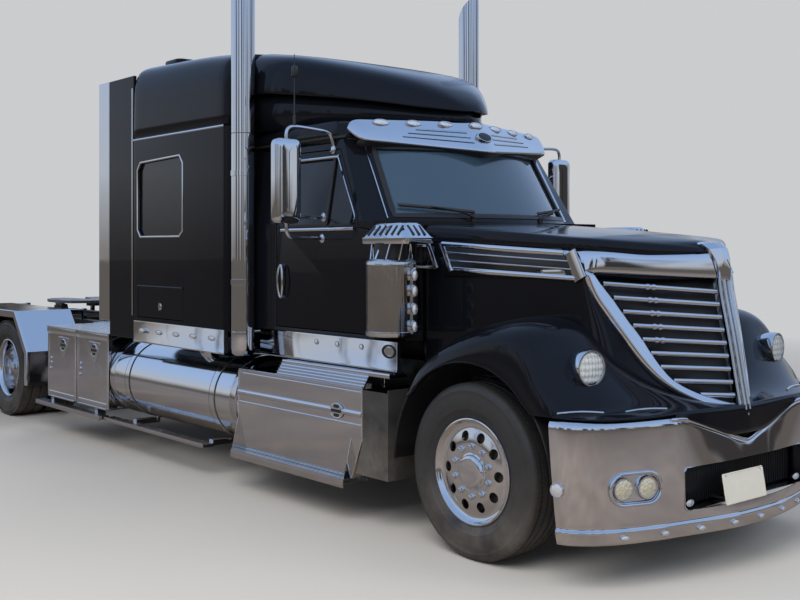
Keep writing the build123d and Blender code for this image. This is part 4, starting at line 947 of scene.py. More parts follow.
def makeGrille():
    out = Vector((1, hood["slope"], 0.12)).normalized()
    outer = smoothRun([(noseX(y, z), y, z) for z, y in surroundOuter[1:]], 26)
    inner = smoothRun([(noseX(y, z), y, z) for z, y in surroundInner], 26)
    rows = [[a.lerp(b, share) + out * lift for a, b in zip(outer, inner)] for share, lift in surroundSection]
    for row in rows:
        row[-1].y = 0
    sheetOf(rows).bothSides().weld(0.002).show("grille_surround", chromeBright, "hood", subdivide=1,
                                               thick=0.003, replaces=("grille",))
    bars, spine = Shape(), Shape()
    for index in range(grille["bars"]):
        z = grille["topBar"] - grille["pitch"] * index
        droop = 0.085 - 0.005 * index
        far = lerp(surroundInner, z + droop * 0.4) - 0.004
        start, end = (Vector((noseX(y, z) - grille["back"], y, z + droop * y)) for y in (far, 0.03))
        points = [start.lerp(end, part / 4) for part in range(5)]
        bars.ribbon(points, upward, out, circle(12, grille["tall"] / 2, 0.55 * grille["deep"]))
        for y in grille["links"] if far > 0.44 else ():
            at = start.lerp(end, (far - y) / (far - 0.03))
            bars.bar(at - Vector((-0.005, 0.008, 0)), at + Vector((-0.005, 0.008, 0)), 0.039, 0.040)
    bars.bothSides().show("grille_bars", chromeBright, "hood", angle=50)
    run = smoothRun([(noseX(0, z), 0, z) for z in (1.63, 1.50, 1.35, 1.2, 1.05, 0.93, 0.87)], 14)
    for shift, half, lift in ((0.0, grille["spineHalf"], -0.012), (0.019, 0.011, 0.010),
                              (-0.019, 0.011, 0.010)):
        spine.ribbon([p + Vector((lift, shift, 0)) for p in run], outward, (1, 0, 0.1),
                     circle(12, half, 0.014))
    spine.show("grille_spine", chromeBright, "hood", angle=60)
    rows = []
    for z in grille["screen"]:
        half = lerp(surroundInner, z) + 0.02
        rows.append([(noseX(y, z) - 0.075, y, z) for y in (half, half / 2, 0.0)])
    sheetOf(rows).bothSides().weld(0.001).show("grille_screen", trimBlack, "hood", facing=(1, 0, 0),
                                               thick=0.002)


makeGrille()
print("hood and grille made")


# the fenders and the apron between them: one sheet that follows the fender's line, and stops at the bumper

fenderLine = ((-0.625, 0.90), (-0.60, 0.955), (-0.51, 1.07), (-0.36, 1.20), (-0.08, 1.325), (0.2, 1.388),
              (0.38, 1.380), (0.48, 1.330), (0.56, 1.245), (0.625, 1.150), (0.74, 1.025), (0.86, 0.955),
              (0.96, 0.915), (1.04, 0.893))
frontLimit = ((1.205, 0.575), (1.19, 0.66), (1.108, 0.835), (0.905, 0.94), (0.578, 1.012),
              (0.0, 1.050))  # y, x
fender = {"outer": 1.200, "crownDrop": 0.150, "lipRadius": 0.622, "liner": 0.640, "rows": 30,
          "lowEdge": 0.893, "shares": (0, 0.05, 0.12, 0.22, 0.36, 0.52, 0.66, 0.78, 0.87, 0.94, 0.98, 1.0),
          "blend": 0.05, "easing": 24,
          "side": ((0.25, 0.004), (0.55, 0.006), (0.85, 0.004), (0.96, 0.008), (1.0, 0.002), (1.0, -0.03))}
notch = {"half": 0.55, "low": 0.70, "high": 0.885, "clear": 0.738}


def fenderRow(place, hub):
    ahead = min(1.0, max(0.0, (place.x - 0.62) / 0.24))
    inwards = (hub - place).normalized().lerp(Vector((0, -1)), ahead * ahead * (3 - 2 * ahead))
    beside = hoodSideAt(max(place.x, -0.7), -0.02)
    front = max(0.0, (smoothAt(prowLine, place.y) - place.x) / hood["slope"] - 0.03)
    near = fender["blend"]
    inner = max(0.0, -near * math.log(math.exp(-beside / near) + math.exp(-front / near)))
    row = []
    for share in fender["shares"]:
        y = inner + (fender["outer"] - inner) * share
        valley = 0.030 * max(0.0, 1 - share / 0.22) ** 2
        at = place + inwards * (fender["crownDrop"] * (1 - (1 - share ** 3) ** 0.5) + valley)
        limit = smoothAt(frontLimit, y)
        over = (at.x - limit + 0.03) / 0.03
        under = (fender["lowEdge"] + 0.02 - at.y) / 0.02
        row.append((at.x if over < 0 else limit - 0.03 * math.exp(-over), y,
                    at.y if under < 0 else fender["lowEdge"] + 0.02 * math.exp(-under)))
    return row


def makeFenders():
    run = smoothRun([(x, z, 0) for x, z in fenderLine], fender["rows"])
    hub = Vector((0, truck["wheelRadius"]))
    rows = [fenderRow(point.to_2d(), hub) for point in run]
    # ease the sheet where it runs into the prow
    for again in range(fender["easing"]):
        for before, row, after in zip(rows, rows[1:], rows[2:]):
            for index in range(1, 10):
                if row[index][0] > 0.5:
                    near = (before[index], after[index], row[index - 1], row[index + 1])
                    middle = sum((Vector(p) for p in near), Vector()) / 4
                    row[index] = tuple(Vector(row[index]).lerp(middle, 0.5))
    # the side skin carries on from the outer edge to the arch
    for row in rows:
        top = Vector((row[-1][0], row[-1][2]))
        foot = hub + (top - hub).normalized() * fender["lipRadius"]
        if foot.y < fender["lowEdge"] and foot.x > 0:
            foot = Vector((min(top.x, max(foot.x, 0.50)), fender["lowEdge"]))
        for share, shift in fender["side"]:
            at = top.lerp(foot, share)
            row.append((at.x, row[11][1] + shift, at.y))
    # front face of the apron, down to the bumper's notch, and clear of it when the hood tips
    face = []
    for depth in (0.0, 0.35, 0.7, 1.0):
        row = []
        for step in range(13):
            y = 0.62 * step / 12
            low = min(notch["high"], notch["low"] + (notch["high"] - notch["low"]) * y / notch["half"]) - 0.02
            drop = max(low, notch["clear"]) - fender["lowEdge"]
            row.append((smoothAt(frontLimit, y) - 0.004 + 0.01 * depth, y,
                        fender["lowEdge"] + 0.004 + drop * depth))
        face.append(row)
    sheet = sheetOf(rows)
    sheet.grid(face)
    skin = sheet.bothSides().weld(0.0008).show("front_fenders", paintBlack, "hood", subdivide=1, thick=0.006)
    rows = []
    for angle in range(-8, 190, 9):
        turn = math.radians(angle)
        z = truck["wheelRadius"] + fender["liner"] * math.sin(turn)
        rows.append([(fender["liner"] * math.cos(turn), y, max(z, 0.42))
                     for y in (0.70, 0.73, 0.95, 1.17, 1.19)])
    sheetOf(rows).bothSides().show("arch_liners", trimBlack, "hood", solid=False, thick=0.003)
    return skin


fenderSkin = makeFenders()


# headlamps: a bright bucket and bezel, a mirrored bowl with its bulb, and a cut lens

headlamp = {"centre": (0.664, 0.914, 1.134), "radius": 0.099, "turnOut": 8}


def makeHeadlamps():
    radius = headlamp["radius"]
    place = Matrix.Translation(headlamp["centre"]) @ Matrix.Rotation(math.radians(headlamp["turnOut"]), 4,
                                                                     "Z")
    for name, material, profile in (
            ("bezel", chromeBright,
             ((-0.12, radius * 0.7), (-0.07, radius * 0.9), (-0.02, radius), (0.012, radius),
                                     (0.022, radius * 0.965), (0.022, radius * 0.90),
                                     (0.006, radius * 0.87))),
            ("bowl", mirrorFace, ((-0.05, 0.0), (-0.048, 0.03), (-0.03, radius * 0.6),
                                  (0.006, radius * 0.88))),
            ("lens", lensGlass, ((0.010, radius * 0.885), (0.020, radius * 0.8), (0.030, radius * 0.5),
                                 (0.034, 0.0))),
            ("bulb", lensClear, ((-0.04, 0.012), (-0.02, 0.03), (0.004, 0.03), (0.010, 0.0)))):
        part = Shape().lathe(profile, segments=48).moved(place).weld(0.0003).bothSides()
        part.show("headlamp_" + name, material, "hood", angle=30, replaces=("headlamps",)
                  if name == "bezel" else ())


makeHeadlamps()
print("fenders and headlamps made")


# the bumper: one deep polished sheet with a rolled top, cut for the lamps and the air opening

bumper = {"low": 0.25, "top": 0.882, "notchLow": 0.702, "notchHalf": 0.55, "openHalf": 0.582,
          "openMiddle": 0.499, "openTall": 0.113, "pairY": 0.894, "pairZ": 0.535, "pairGap": 0.072,
          "pairRadius": 0.070, "wall": 0.005, "lipLampZ": 0.289, "lipLamps": (0.0, 0.24, 0.48, 0.72, 0.96),
          "plate": (-0.314, 0.081, 0.385, 0.552), "rake": 0.105, "rakeFrom": 0.345, "ease": 0.02,
          "soft": 0.012}
bumperPlan = ((0.0, 1.118), (0.20, 1.110), (0.40, 1.077), (0.58, 1.036), (0.76, 0.996), (0.915, 0.948),
              (1.03, 0.900), (1.12, 0.842), (1.18, 0.770), (1.206, 0.710), (1.216, 0.640))  # y, x
# the sheet from its low edge up: heights, shares up to the rolled top, drops from the top; and how far out
lowRows = ((0.255, -0.035), (0.250, -0.008), (0.253, 0.001), (0.27, 0.004), (0.315, 0.010), (0.324, 0.009),
           (0.331, -0.003), (0.345, -0.001))
faceRows = ((0.15, 0.001), (0.4, 0.003), (0.7, 0.003), (0.93, 0.0), (1.0, -0.001))
topRows = ((0.028, -0.002), (0.014, -0.008), (0.004, -0.019), (0.0, -0.034), (0.012, -0.040))


def bumperRake(y, z):
    # the middle of the face leans back, most at the notch
    middle = max(0.0, 1 - (abs(y) / 0.62) ** 2)
    return -bumper["rake"] * middle * max(0.0,
                                          (z - bumper["rakeFrom"]) / (bumper["top"] - bumper["rakeFrom"]))


def bumperRun(count):
    points = smoothRun([(x, y, 0) for y, x in bumperPlan], count)
    points[0].y = 0
    ways = [around(points, index) for index in range(count)]
    return points, [Vector((1, 0, 0))] + [Vector((way.y, -way.x, 0)).normalized() for way in ways[1:]]


def bumperTop(y):
    # the notch under the prow, with its corners eased
    rise = (bumper["top"] - bumper["notchLow"]) / bumper["notchHalf"]
    slant = bumper["notchLow"] + rise * math.sqrt(y * y + bumper["ease"] ** 2)
    return -bumper["soft"] * math.log(math.exp(-slant / bumper["soft"])
                                      + math.exp(-bumper["top"] / bumper["soft"]))


bumperLine, bumperFine = bumperRun(44), bumperRun(80)


def bumperPlace(y, z, lift=0.0):
    points, outs = bumperFine
    index = min(range(len(points)), key=lambda i: abs(points[i].y - abs(y)))
    out = Vector((outs[index].x, math.copysign(outs[index].y, y), 0))
    return Vector((points[index].x + bumperRake(y, z), y, z)) + out * lift, out


def bumperFacing(y, z, lift=0.0):
    return facing(*bumperPlace(y, z, lift))


def pairOutline(place, radius, x, steps=10):
    # stadium round the two lamps, in the plane across the place's X
    turns = [-math.pi / 2 + math.pi * step / steps for step in range(steps + 1)]
    return [place @ Vector((x, side * (bumper["pairGap"] + radius * math.cos(turn)),
                            side * radius * math.sin(turn)))
            for side in (1, -1) for turn in turns]


pairPlaces = [bumperFacing(side * bumper["pairY"], bumper["pairZ"]) for side in (1, -1)]


def makeBumper():
    points, outs = bumperLine
    tops = [bumperTop(p.y) for p in points]
    base = bumper["rakeFrom"]
    levels = [([z] * len(points), out) for z, out in lowRows]
    levels += [([base + share * (top - 0.04 - base) for top in tops], out) for share, out in faceRows]
    levels += [([top - drop for top in tops], out) for drop, out in topRows]
    rows = []
    for heights, out in levels:
        row = []
        for index, (p, o, z) in enumerate(zip(points, outs, heights)):
            x, y = p.x + o.x * out, p.y + o.y * out
            # the rear edge leans back towards the top
            lean = min(1.0, max(0.0, (0.86 - x) / 0.22))
            x += 0.065 * lean ** 2 * (1 - (z - bumper["low"]) / 0.63) + bumperRake(y, z)
            row.append((x, max(y, 0.0) if index else 0.0, z))
        rows.append(row)
    body = sheetOf(rows).bothSides().weld(0.0004).toMesh("bumper_sheet", facing=(1, 0, 0))
    opening = roundedLoop(bumper["openHalf"], bumper["openTall"], 0.03)
    cutter = Shape().prism([(0.80, y, bumper["openMiddle"] + z) for y, z in opening], (0.5, 0, 0))
    for place in pairPlaces:
        cutter.prism(pairOutline(place, bumper["pairRadius"] + 0.006, -0.12),
                     place.to_3x3() @ Vector((0.24, 0, 0)))
    mesh = cutOut(body, cutter.toMesh("bumper_cutter"), subdivide=2, thick=bumper["wall"])
    showPiece(mesh, chromeSheet, name="bumper_sheet", angle=35, replaces=("bumper",))
    # turned-in walls of the opening, and its dark grid
    rings = []
    for depth, spread in ((0.006, 0.004), (0.004, -0.002), (-0.03, -0.003), (None, -0.003)):
        ring = []
        for y, z in roundedLoop(bumper["openHalf"] + spread, bumper["openTall"] + spread, 0.03, steps=8):
            at = bumperPlace(y, bumper["openMiddle"] + z)[0]
            ring.append((0.938 if depth is None else at.x + depth, y, at.z))
        rings.append(ring)
    sheetOf(rings, loop=True).show("bumper_duct", chromeSheet, solid=False, thick=0.003)
    wire = Shape().bar((0.955, -0.56, 0.392), (0.955, -0.56, 0.608), 0.005, 0.005, up=(1, 0, 0))
    showPiece(inRows(wire, "bumper_grid", 57, (0, 0.02, 0), trimBlack), trimBlack)
    back = sheetOf([[(0.94, y, z) for y in (-0.585, 0.585)] for z in (0.38, 0.62)])
    back.show("bumper_screen", trimBlack, facing=(1, 0, 0), thick=0.003)
    # round bar along the notch
    half = [(p.x - 0.008 + bumperRake(p.y, top), p.y, top - 0.010) for p, top in zip(points, tops)
            if p.y < 0.70]
    rim = Shape().tube([(x, -y, z) for x, y, z in reversed(half[1:])] + half, 0.011, sides=12)
    rim.show("notch_rim", chromeBright, angle=60)


def makeBumperLamps():
    seats, rims, dots = Shape(), Shape(), Shape()
    radius = bumper["pairRadius"]
    places = []
    for place in pairPlaces:
        seats.prism(pairOutline(place, radius + 0.010, -0.022), place.to_3x3() @ Vector((0.004, 0, 0)))
        for reach, x, thick in ((radius + 0.012, 0.004, 0.009), (radius + 0.003, -0.006, 0.004)):
            loop = pairOutline(place, reach, x)
            rims.tube(loop + loop[:1], thick)
        places += [place @ Matrix.Translation((-0.016, step * bumper["pairGap"], 0)) for step in (1, -1)]
    seats.show("fog_seats", chromeBright)
    rims.show("fog_rims", chromeBright, angle=60)
    showLamps(places, 0.062, fogLens, "fog_lamp", replaces=("bumper_lamps",), deep=0.026)
    for place in places:
        for y, z in circle(6, 0.034) + [(0, 0)]:
            dot = Shape().lathe([(0.0, 0.0155), (0.006, 0.0125), (0.009, 0.006), (0.0095, 0.0)], segments=16)
            dots.add(dot, place @ Matrix.Translation((0.012, y, z)))
    dots.weld(0.0002).show("fog_dots", lensClear)
    spots = [bumperFacing(side * y, bumper["lipLampZ"], 0.006) for y in bumper["lipLamps"]
             for side in ((1, -1) if y else (1,))]
    showLamps(spots, 0.014, lensClear, "lip_lamp", deep=0.012, wide=2.0)
    showLamps([bumperFacing(side * 1.207, 0.53, 0.001) for side in (1, -1)], 0.040, lensClear, "end_lamp",
              deep=0.022)
    inner = [facing(bumperPlace(side * 0.535, 0.42, -0.022)[0], (1, 0, 0)) for side in (1, -1)]
    showLamps(inner, 0.020, lensClear, "step_lamp", deep=0.016, wide=1.8)


def makePlate():
    low, high, bottom, top = bumper["plate"]
    half, tall = (high - low) / 2, (top - bottom) / 2
    place = Matrix.Translation((1.094, (low + high) / 2,
                                (top + bottom) / 2)) @ Matrix.Rotation(math.radians(-10), 4, "Y")
    blank = Shape().prism([place @ Vector((0, y, z)) for y, z in roundedLoop(half, tall, 0.012)],
                          (0.003, 0, 0))
    blank.show("blank_plate", plateBlank, bevel=0.0008)
    loop = [place @ Vector((0.004, y, z)) for y, z in roundedLoop(half - 0.004, tall - 0.004, 0.010)]
    Shape().tube(loop + loop[:1], 0.0016, sides=6).show("plate_edge", plateBlank, angle=60)
    screw = Shape().lathe([(0.003, 0.0045), (0.006, 0.0042), (0.0072, 0.0)], segments=12)
    screw.moved(place @ Matrix.Translation((0, -half + 0.03, tall - 0.014)))
    heads = inRows(screw, "plate_screws", 2, (0, 2 * half - 0.06, 0), chromeBright, 2,
                   (0, 0, -2 * tall + 0.028))
    showPiece(heads, chromeBright, angle=50)
    arms = Shape()
    for y in (low + 0.06, high - 0.06):
        arms.bar((0.97, y, 0.41), (1.104, y, 0.41), 0.012, 0.03)
    arms.show("plate_arms", trimBlack, bevel=0.002)


def makeFenderStrips():
    # thin bright strips along the fenders' lower front edge
    strips = Shape()
    surface = BVHTree.FromObject(fenderSkin, bpy.context.evaluated_depsgraph_get())
    for first, last in ((1.175, 0.97), (0.86, 0.60)):
        points = []
        for step in range(13):
            y = first + (last - first) * step / 12
            start = toFrame @ Vector((1.4, y, 0.916 + 0.006 * math.sin(math.pi * step / 12)))
            hit = surface.ray_cast(start, Vector((-1, 0, 0)))[0]
            points.append(toFrame.inverted() @ (hit + Vector((0.003, 0, 0))))
        strips.tube(points, 0.007, sides=8)
    strips.bothSides().show("fender_strips", chromeBright, "hood", angle=60)


makeBumper()
makeBumperLamps()
makePlate()
makeFenderStrips()
print("bumper made")


# wheels: tyres with their treads, polished rims and discs, lugs and hub covers

wheels = {"steerGrooves": (0.078, 0.028, -0.028, -0.078), "driveGrooves": (0.045, -0.045),
          "grooveHalf": 0.006, "grooveDeep": 0.013, "steerY": 1.025, "outerY": 1.070, "innerY": 0.727,
          "mountY": 0.8985, "handHoles": 10, "handCircle": 0.205, "handRadius": 0.030, "lugCircle": 0.143,
          "segments": 96, "ribs": (-0.094, -0.053, 0.0, 0.053, 0.094)}
# half sections: along the axle, radius
tyreSide = [(0.098, 0.290), (0.112, 0.300), (0.118, 0.306), (0.133, 0.330), (0.1405, 0.352), (0.1425, 0.354),
            (0.1465, 0.382), (0.147, 0.405), (0.1455, 0.432), (0.1415, 0.456), (0.1425, 0.459),
            (0.1375, 0.474), (0.132, 0.484), (0.124, 0.494), (0.112, 0.5005), (0.10, 0.5025)]
rimSide = [(-0.115, 0.286), (-0.115, 0.302), (-0.108, 0.304), (-0.102, 0.289), (0.098, 0.289), (0.110, 0.300),
           (0.119, 0.306), (0.127, 0.303), (0.1285, 0.296)]
dishBack = wheels["mountY"] - wheels["outerY"] - 0.008
sections = {
    "steerDisc": rimSide + [(0.121, 0.288), (0.108, 0.281), (0.101, 0.270), (0.0985, 0.256), (0.104, 0.235),
                            (0.112, 0.205), (0.1175, 0.170), (0.119, 0.140), (0.118, 0.095), (0.110, 0.070),
                            (0.100, 0.070), (0.100, 0.165), (0.090, 0.24), (0.085, 0.262), (0.060, 0.276),
                            (-0.06, 0.276)],
    "driveDish": rimSide + [(0.121, 0.287), (0.105, 0.279), (0.06, 0.272), (-0.04, 0.268), (-0.095, 0.262),
                            (-0.125, 0.250), (-0.137, 0.230), (-0.139, 0.205), (-0.141, 0.175),
                            (-0.146, 0.165), (-0.146, 0.100), (dishBack, 0.100), (dishBack, 0.245),
                            (-0.150, 0.262), (-0.115, 0.276)],
    "steerHat": ((0.105, 0.100), (0.119, 0.108), (0.122, 0.106), (0.124, 0.098), (0.138, 0.092),
                 (0.142, 0.086), (0.1435, 0.070), (0.1445, 0.045), (0.1452, 0.0)),
    "driveHat": ((-0.160, 0.104), (-0.120, 0.104), (-0.114, 0.100), (-0.050, 0.096), (-0.030, 0.090),
                 (-0.022, 0.078), (-0.020, 0.050), (-0.0192, 0.0)),
    "steerDrum": ((-0.10, 0.215), (-0.10, 0.222), (0.06, 0.222), (0.066, 0.215), (0.066, 0.09),
                  (0.05, 0.085)),
    "driveDrum": ((-0.10, 0.205), (-0.10, 0.215), (0.105, 0.215), (0.112, 0.205), (0.112, 0.11),
                  (0.10, 0.105)),
    "innerRim": ((-0.115, 0.280), (-0.115, 0.302), (-0.108, 0.302), (-0.100, 0.287), (0.100, 0.287),
                 (0.108, 0.302), (0.115, 0.302), (0.115, 0.280), (0.10, 0.268), (-0.10, 0.268))}


def tyreSection(grooves):
    run, half = list(tyreSide), wheels["grooveHalf"]
    for middle in grooves:
        crown = truck["wheelRadius"] - 0.0025 * (middle / 0.1) ** 2
        floor = crown - wheels["grooveDeep"]
        run += [(middle + half + 0.0015, crown), (middle + half - 0.001, floor),
                (middle - half + 0.001, floor), (middle - half - 0.0015, crown)]
    return run + [(-along, radius) for along, radius in tyreSide[::-1]]


def wheelLathe(section, hub, side, segments=wheels["segments"], closed=True):
    return Shape().lathe([(along * side, radius) for along, radius in section], hub, "Y", segments, closed)


def makeTyre(name, hub, side, body, drive, replaces=()):
    section = tyreSection(wheels["driveGrooves" if drive else "steerGrooves"])
    wheelLathe(section, hub, side).show(name, tyreRubber, body, angle=35, replaces=replaces)
    # lugs on the drive tyres, sipes on the steer tyres' ribs
    block = Shape()
    x, y, z = hub[0], hub[1], truck["wheelRadius"] * 2
    if drive:
        for y0, y1, shift in ((0.052, 0.140, 0.0), (-0.140, -0.052, 0.011), (-0.038, -0.003, 0.016),
                              (0.003, 0.038, 0.005)):
            low, sink = (-0.022, 0.004) if abs(y0) > 0.1 or abs(y1) > 0.1 else (-0.013, 0.0)
            tips = ((-0.012, low), (0.012, low), (0.010, -0.0002), (-0.010, -0.0002))
            block.prism([(x + shift + dx, y + y0, z + dz - sink) for dx, dz in tips], (0, y1 - y0, 0))
        mesh = inRing(block, name + "_blocks", hub, 96, tyreRubber)
    else:
        corners = ((-0.0016, -0.006), (0.0016, -0.006), (0.0016, 0.0004), (-0.0016, 0.0004))
        for middle in wheels["ribs"]:
            for edge in (-0.0165, 0.0165):
                block.prism([(x + dx, y + middle + edge - 0.003, z + dz) for dx, dz in corners],
                            (0, 0.006, 0))
        mesh = inRing(block, name + "_sipes", hub, 120, tyreRubber)
    showPiece(mesh, tyreRubber, body, angle=30)


def makeDisc(name, section, hub, side, body, lugAt, lugHigh):
    # polished disc with its hand holes cut through
    holes = Shape()
    for index in range(wheels["handHoles"]):
        turn = 2 * math.pi * (index + 0.5) / wheels["handHoles"]
        centre = Vector(hub) + wheels["handCircle"] * Vector((math.sin(turn), 0, math.cos(turn)))
        holes.lathe([(-0.25, wheels["handRadius"]), (0.25, wheels["handRadius"])], centre, "Y", 24)
    mesh = cutOut(wheelLathe(section, hub, side).toMesh(name), holes.toMesh("holes"))
    showPiece(mesh, wheelMetal, body, name=name, angle=32)
    top = ((0.0, 0.019), (0.006, 0.019), (0.008, 0.0165), (lugHigh * 0.6, 0.0155), (lugHigh * 0.85, 0.012),
           (lugHigh, 0.0))
    lug = wheelLathe([(lugAt + along, radius) for along, radius in top],
                     Vector(hub) + upward * wheels["lugCircle"], side, 12, closed=False).weld(0.0002)
    showPiece(inRing(lug, name + "_lugs", hub, 10, chromeBright), chromeBright, body, angle=40)


def makeHat(body, section, hub, side):
    hat = wheelLathe(section, hub, side, 64, closed=False).weld(0.0002)
    hat.show(body + "_hub_cover", chromeBright, body, angle=35)


for side, name in sides:
    body = "front_wheel_" + name
    hub = (0, wheels["steerY"] * side, truck["wheelRadius"])
    makeTyre(body + "_tyre", hub, side, body, False, replaces=(body,))
    makeDisc(body + "_disc", sections["steerDisc"], hub, side, body, 0.118, 0.026)
    makeHat(body, sections["steerHat"], hub, side)
    wheelLathe(sections["steerDrum"], hub, side, 48).show(body + "_drum", frameBlack, body, angle=35)
    for place, x in zip(("front", "rear"), truck["driveAxles"]):
        body = "drive_wheels_%s_%s" % (place, name)
        hub = (x, wheels["outerY"] * side, truck["wheelRadius"])
        inner = (x, wheels["innerY"] * side, truck["wheelRadius"])
        makeTyre(body + "_outer_tyre", hub, side, body, True, replaces=(body,))
        makeTyre(body + "_inner_tyre", inner, side, body, True)
        makeDisc(body + "_dish", sections["driveDish"], hub, side, body, -0.146, 0.055)
        makeHat(body, sections["driveHat"], hub, side)
        for label, section in (("_inner_rim", "innerRim"), ("_drum", "driveDrum")):
            wheelLathe(sections[section], inner, side, 48).show(body + label, frameBlack, body, angle=35)
print("wheels made")


# the roof: a low deck, the dome that widens back, and the sleeper's top, all drawn as smooth sheets

# dome rows: place, half width at the lip, height of the lip, top
roof = {"dome": ((-1.196, 0.03, 2.752, 2.768), (-1.204, 0.09, 2.752, 2.79), (-1.225, 0.15, 2.754, 2.822),
                 (-1.275, 0.235, 2.762, 2.872), (-1.37, 0.34, 2.775, 2.942), (-1.56, 0.53, 2.812, 3.035),
                 (-1.80, 0.76, 2.85, 3.118), (-2.08, 0.975, 2.885, 3.195), (-2.32, 1.045, 2.908, 3.245),
                 (-2.556, 1.06, 2.92, 3.285)),
        "front": ((1, 0), (0.985, 0.10), (0.93, 0.36), (0.85, 0.60), (0.73, 0.79), (0.56, 0.92), (0.3, 0.985),
                  (0, 1)),
        "rear": ((1, 0), (0.994, 0.26), (0.972, 0.56), (0.93, 0.79), (0.86, 0.915), (0.70, 0.972),
                 (0.4, 0.994), (0, 1)),
        "stations": 30, "sheet": 0.004, "deckHalf": 0.965,
        "deckCorner": ((-1.435, 0.88), (-1.48, 0.932), (-1.53, 0.958), (-1.60, 0.964), (-2.0, 0.965),
                       (-2.556, 0.965)),
        "deck": ((2.50, 0.0, 0.0), (2.57, 0.028, 0.0), (2.625, 0.062, 0.004), (2.648, 0.082, 0.014),
                 (2.658, 0.10, 0.034), (2.66, 0.3, 0.2)),
                  # height, how far back the front leans, how far in the sides are
        "gutter": ((-1.46, 0.925, 2.535), (-1.56, 0.972, 2.53), (-1.9, 0.978, 2.528), (-2.54, 0.978, 2.524)),
        "side": ((1.219, 2.692), (1.219, 2.90), (1.217, 3.06), (1.210, 3.16), (1.192, 3.235), (1.155, 3.288),
                 (1.09, 3.324), (0.98, 3.348), (0.75, 3.367), (0.42, 3.379), (0, 3.382)), "foot": 2.69,
                 "full": 3.385,
        "line": ((-4.10, 3.385), (-3.10, 3.338), (-2.56, 3.285)), "sleeper": (-2.562, -4.098),
        "vent": (-3.92, 0.85, 0.14, 0.10),
        "ventRings": ((3.330, 1.0), (3.378, 1.0), (3.388, 0.93), (3.391, 0.82))}


def mirrored(half):
    # from the right edge over the middle to the left edge
    return [(x, -y, z) for x, y, z in half] + [(x, y, z) for x, y, z in reversed(half[:-1])]


def domeAt(x):
    return [smoothAt([(row[0], row[index]) for row in roof["dome"]], x) for index in (1, 2, 3)]


def domeRow(x):
    half, lip, top = domeAt(x)
    square = min(1.0, max(0.0, (-x - 1.35) / 0.85))
    row = [(x, half * 0.94 - 0.012, lip + 0.012), (x, half - 0.010 * min(1, half / 0.2), lip - 0.003)]
    for (wide0, high0), (wide1, high1) in zip(roof["front"], roof["rear"]):
        wide, high = wide0 + (wide1 - wide0) * square, high0 + (high1 - high0) * square
        row.append((x, half * wide, lip + 0.006 + (top - lip - 0.006) * high))
    return mirrored(row)


def makeDome():
    front, back = roof["dome"][0][0], roof["dome"][-1][0]
    places = [front + (back - front) * (step / (roof["stations"] - 1)) ** 1.8
              for step in range(roof["stations"])]
    dome = Shape()
    dome.mesh.faces.new(dome.grid([domeRow(x) for x in places])[0])
    dome.show("roof_dome", paintBlack, facing=(0, 0, 1), subdivide=1, thick=roof["sheet"], replaces=("roof",))
    # the set-back wall between the deck and the dome's lip
    right, left = [], []
    for x in places:
        half, lip, top = domeAt(x)
        y = half - min(0.055, half * 0.5)
        right.append([(x - 0.02, -y, lip + 0.012), (x - 0.02, -y, 2.64)])
        left.append([(x - 0.02, y, lip + 0.012), (x - 0.02, y, 2.64)])
    sheetOf(right[::-1] + left).weld(0.0002).show("roof_neck", paintBlack, thick=0.003)


def makeDeck():
    half = [(-1.135 - 0.275 * (step / 18) ** 2, 0.85 * step / 18)
            for step in range(19)] + list(roof["deckCorner"])
    loop = half + [(x, -y) for x, y in reversed(half[1:])]
    rows = []
    for z, back, inset in roof["deck"]:
        rows.append([(x - (back if x > -1.5 else inset if x > -2.4 else 0),
                      y * (1 - inset / roof["deckHalf"]), z)
                     for x, y in loop])
    deck = Shape()
    deck.mesh.faces.new(deck.grid(rows, loop=True)[-1])
    deck.show("roof_deck", paintBlack, facing=(0, 0, 1), thick=roof["sheet"])
    gutter = Shape().ribbon(smoothRun(roof["gutter"], 26), upward, outward,
                            ((0.012, -0.012), (0.014, 0.006), (0.008, 0.010), (-0.004, 0.008),
                             (-0.006, -0.012)))
    gutter.bothSides().show("roof_gutters", trimBlack)


def sleeperRow(x, shrink=1.0):
    foot = roof["foot"]
    rise = (smoothAt(roof["line"], x) - foot) / (roof["full"] - foot)
    return mirrored([(x, y * shrink, foot + (z - foot) * rise * (1 - (1 - shrink) * 0.8))
                     for y, z in roof["side"]])


def makeSleeperTop():
    front, back = roof["sleeper"]
    rows = [sleeperRow(front - inset, shrink)
            for inset, shrink in ((0.002, 0.90), (0.004, 0.975), (0.016, 0.993),
                                                                   (0.045, 1.0))]
    rows += [sleeperRow(front - 0.045 + (back - front + 0.085) * step / 10) for step in range(1, 11)]
    rows += [sleeperRow(back + 0.012, 0.994), sleeperRow(back + 0.001, 0.975)]
    skin = Shape()
    skin.mesh.faces.new(skin.grid(rows)[-1])
    skin.show("sleeper_top", paintBlack, facing=(0, 0, 1), subdivide=1, thick=roof["sheet"])
    x, y, long, wide = roof["vent"]
    loops = [[(x + a * grow, b * grow - y, z) for a, b in roundedLoop(long, wide, 0.06)]
             for z, grow in roof["ventRings"]]
    Shape().loft(loops).show("roof_vent", paintBlack, bevel=0.003)
    # the bright line along the seam, and the upright strips at the rear corners
    line = Shape().bar((-4.07, 1.222, 2.690), (-2.585, 1.222, 2.690), 0.016, 0.012)
    line.bar((-4.112, 1.206, 1.20), (-4.112, 1.206, 3.14), 0.016, 0.022, up=(1, 0, 0))
    line.bothSides().show("sleeper_lines", chromeBright)


makeDome()
makeDeck()
makeSleeperTop()
print("roof made")


# drop visor, with its lamps, its raised lines and the blank oval in the middle

visor = {"half": 0.962, "endRound": 0.085, "stations": 56, "rows": 9, "lamps": (0.0, 0.245, 0.49, 0.735),
         "lines": ((0.26, 0.10, 0.62), (0.41, 0.11, 0.57), (0.56, 0.12, 0.50)), "oval": (0.072, 0.046)}


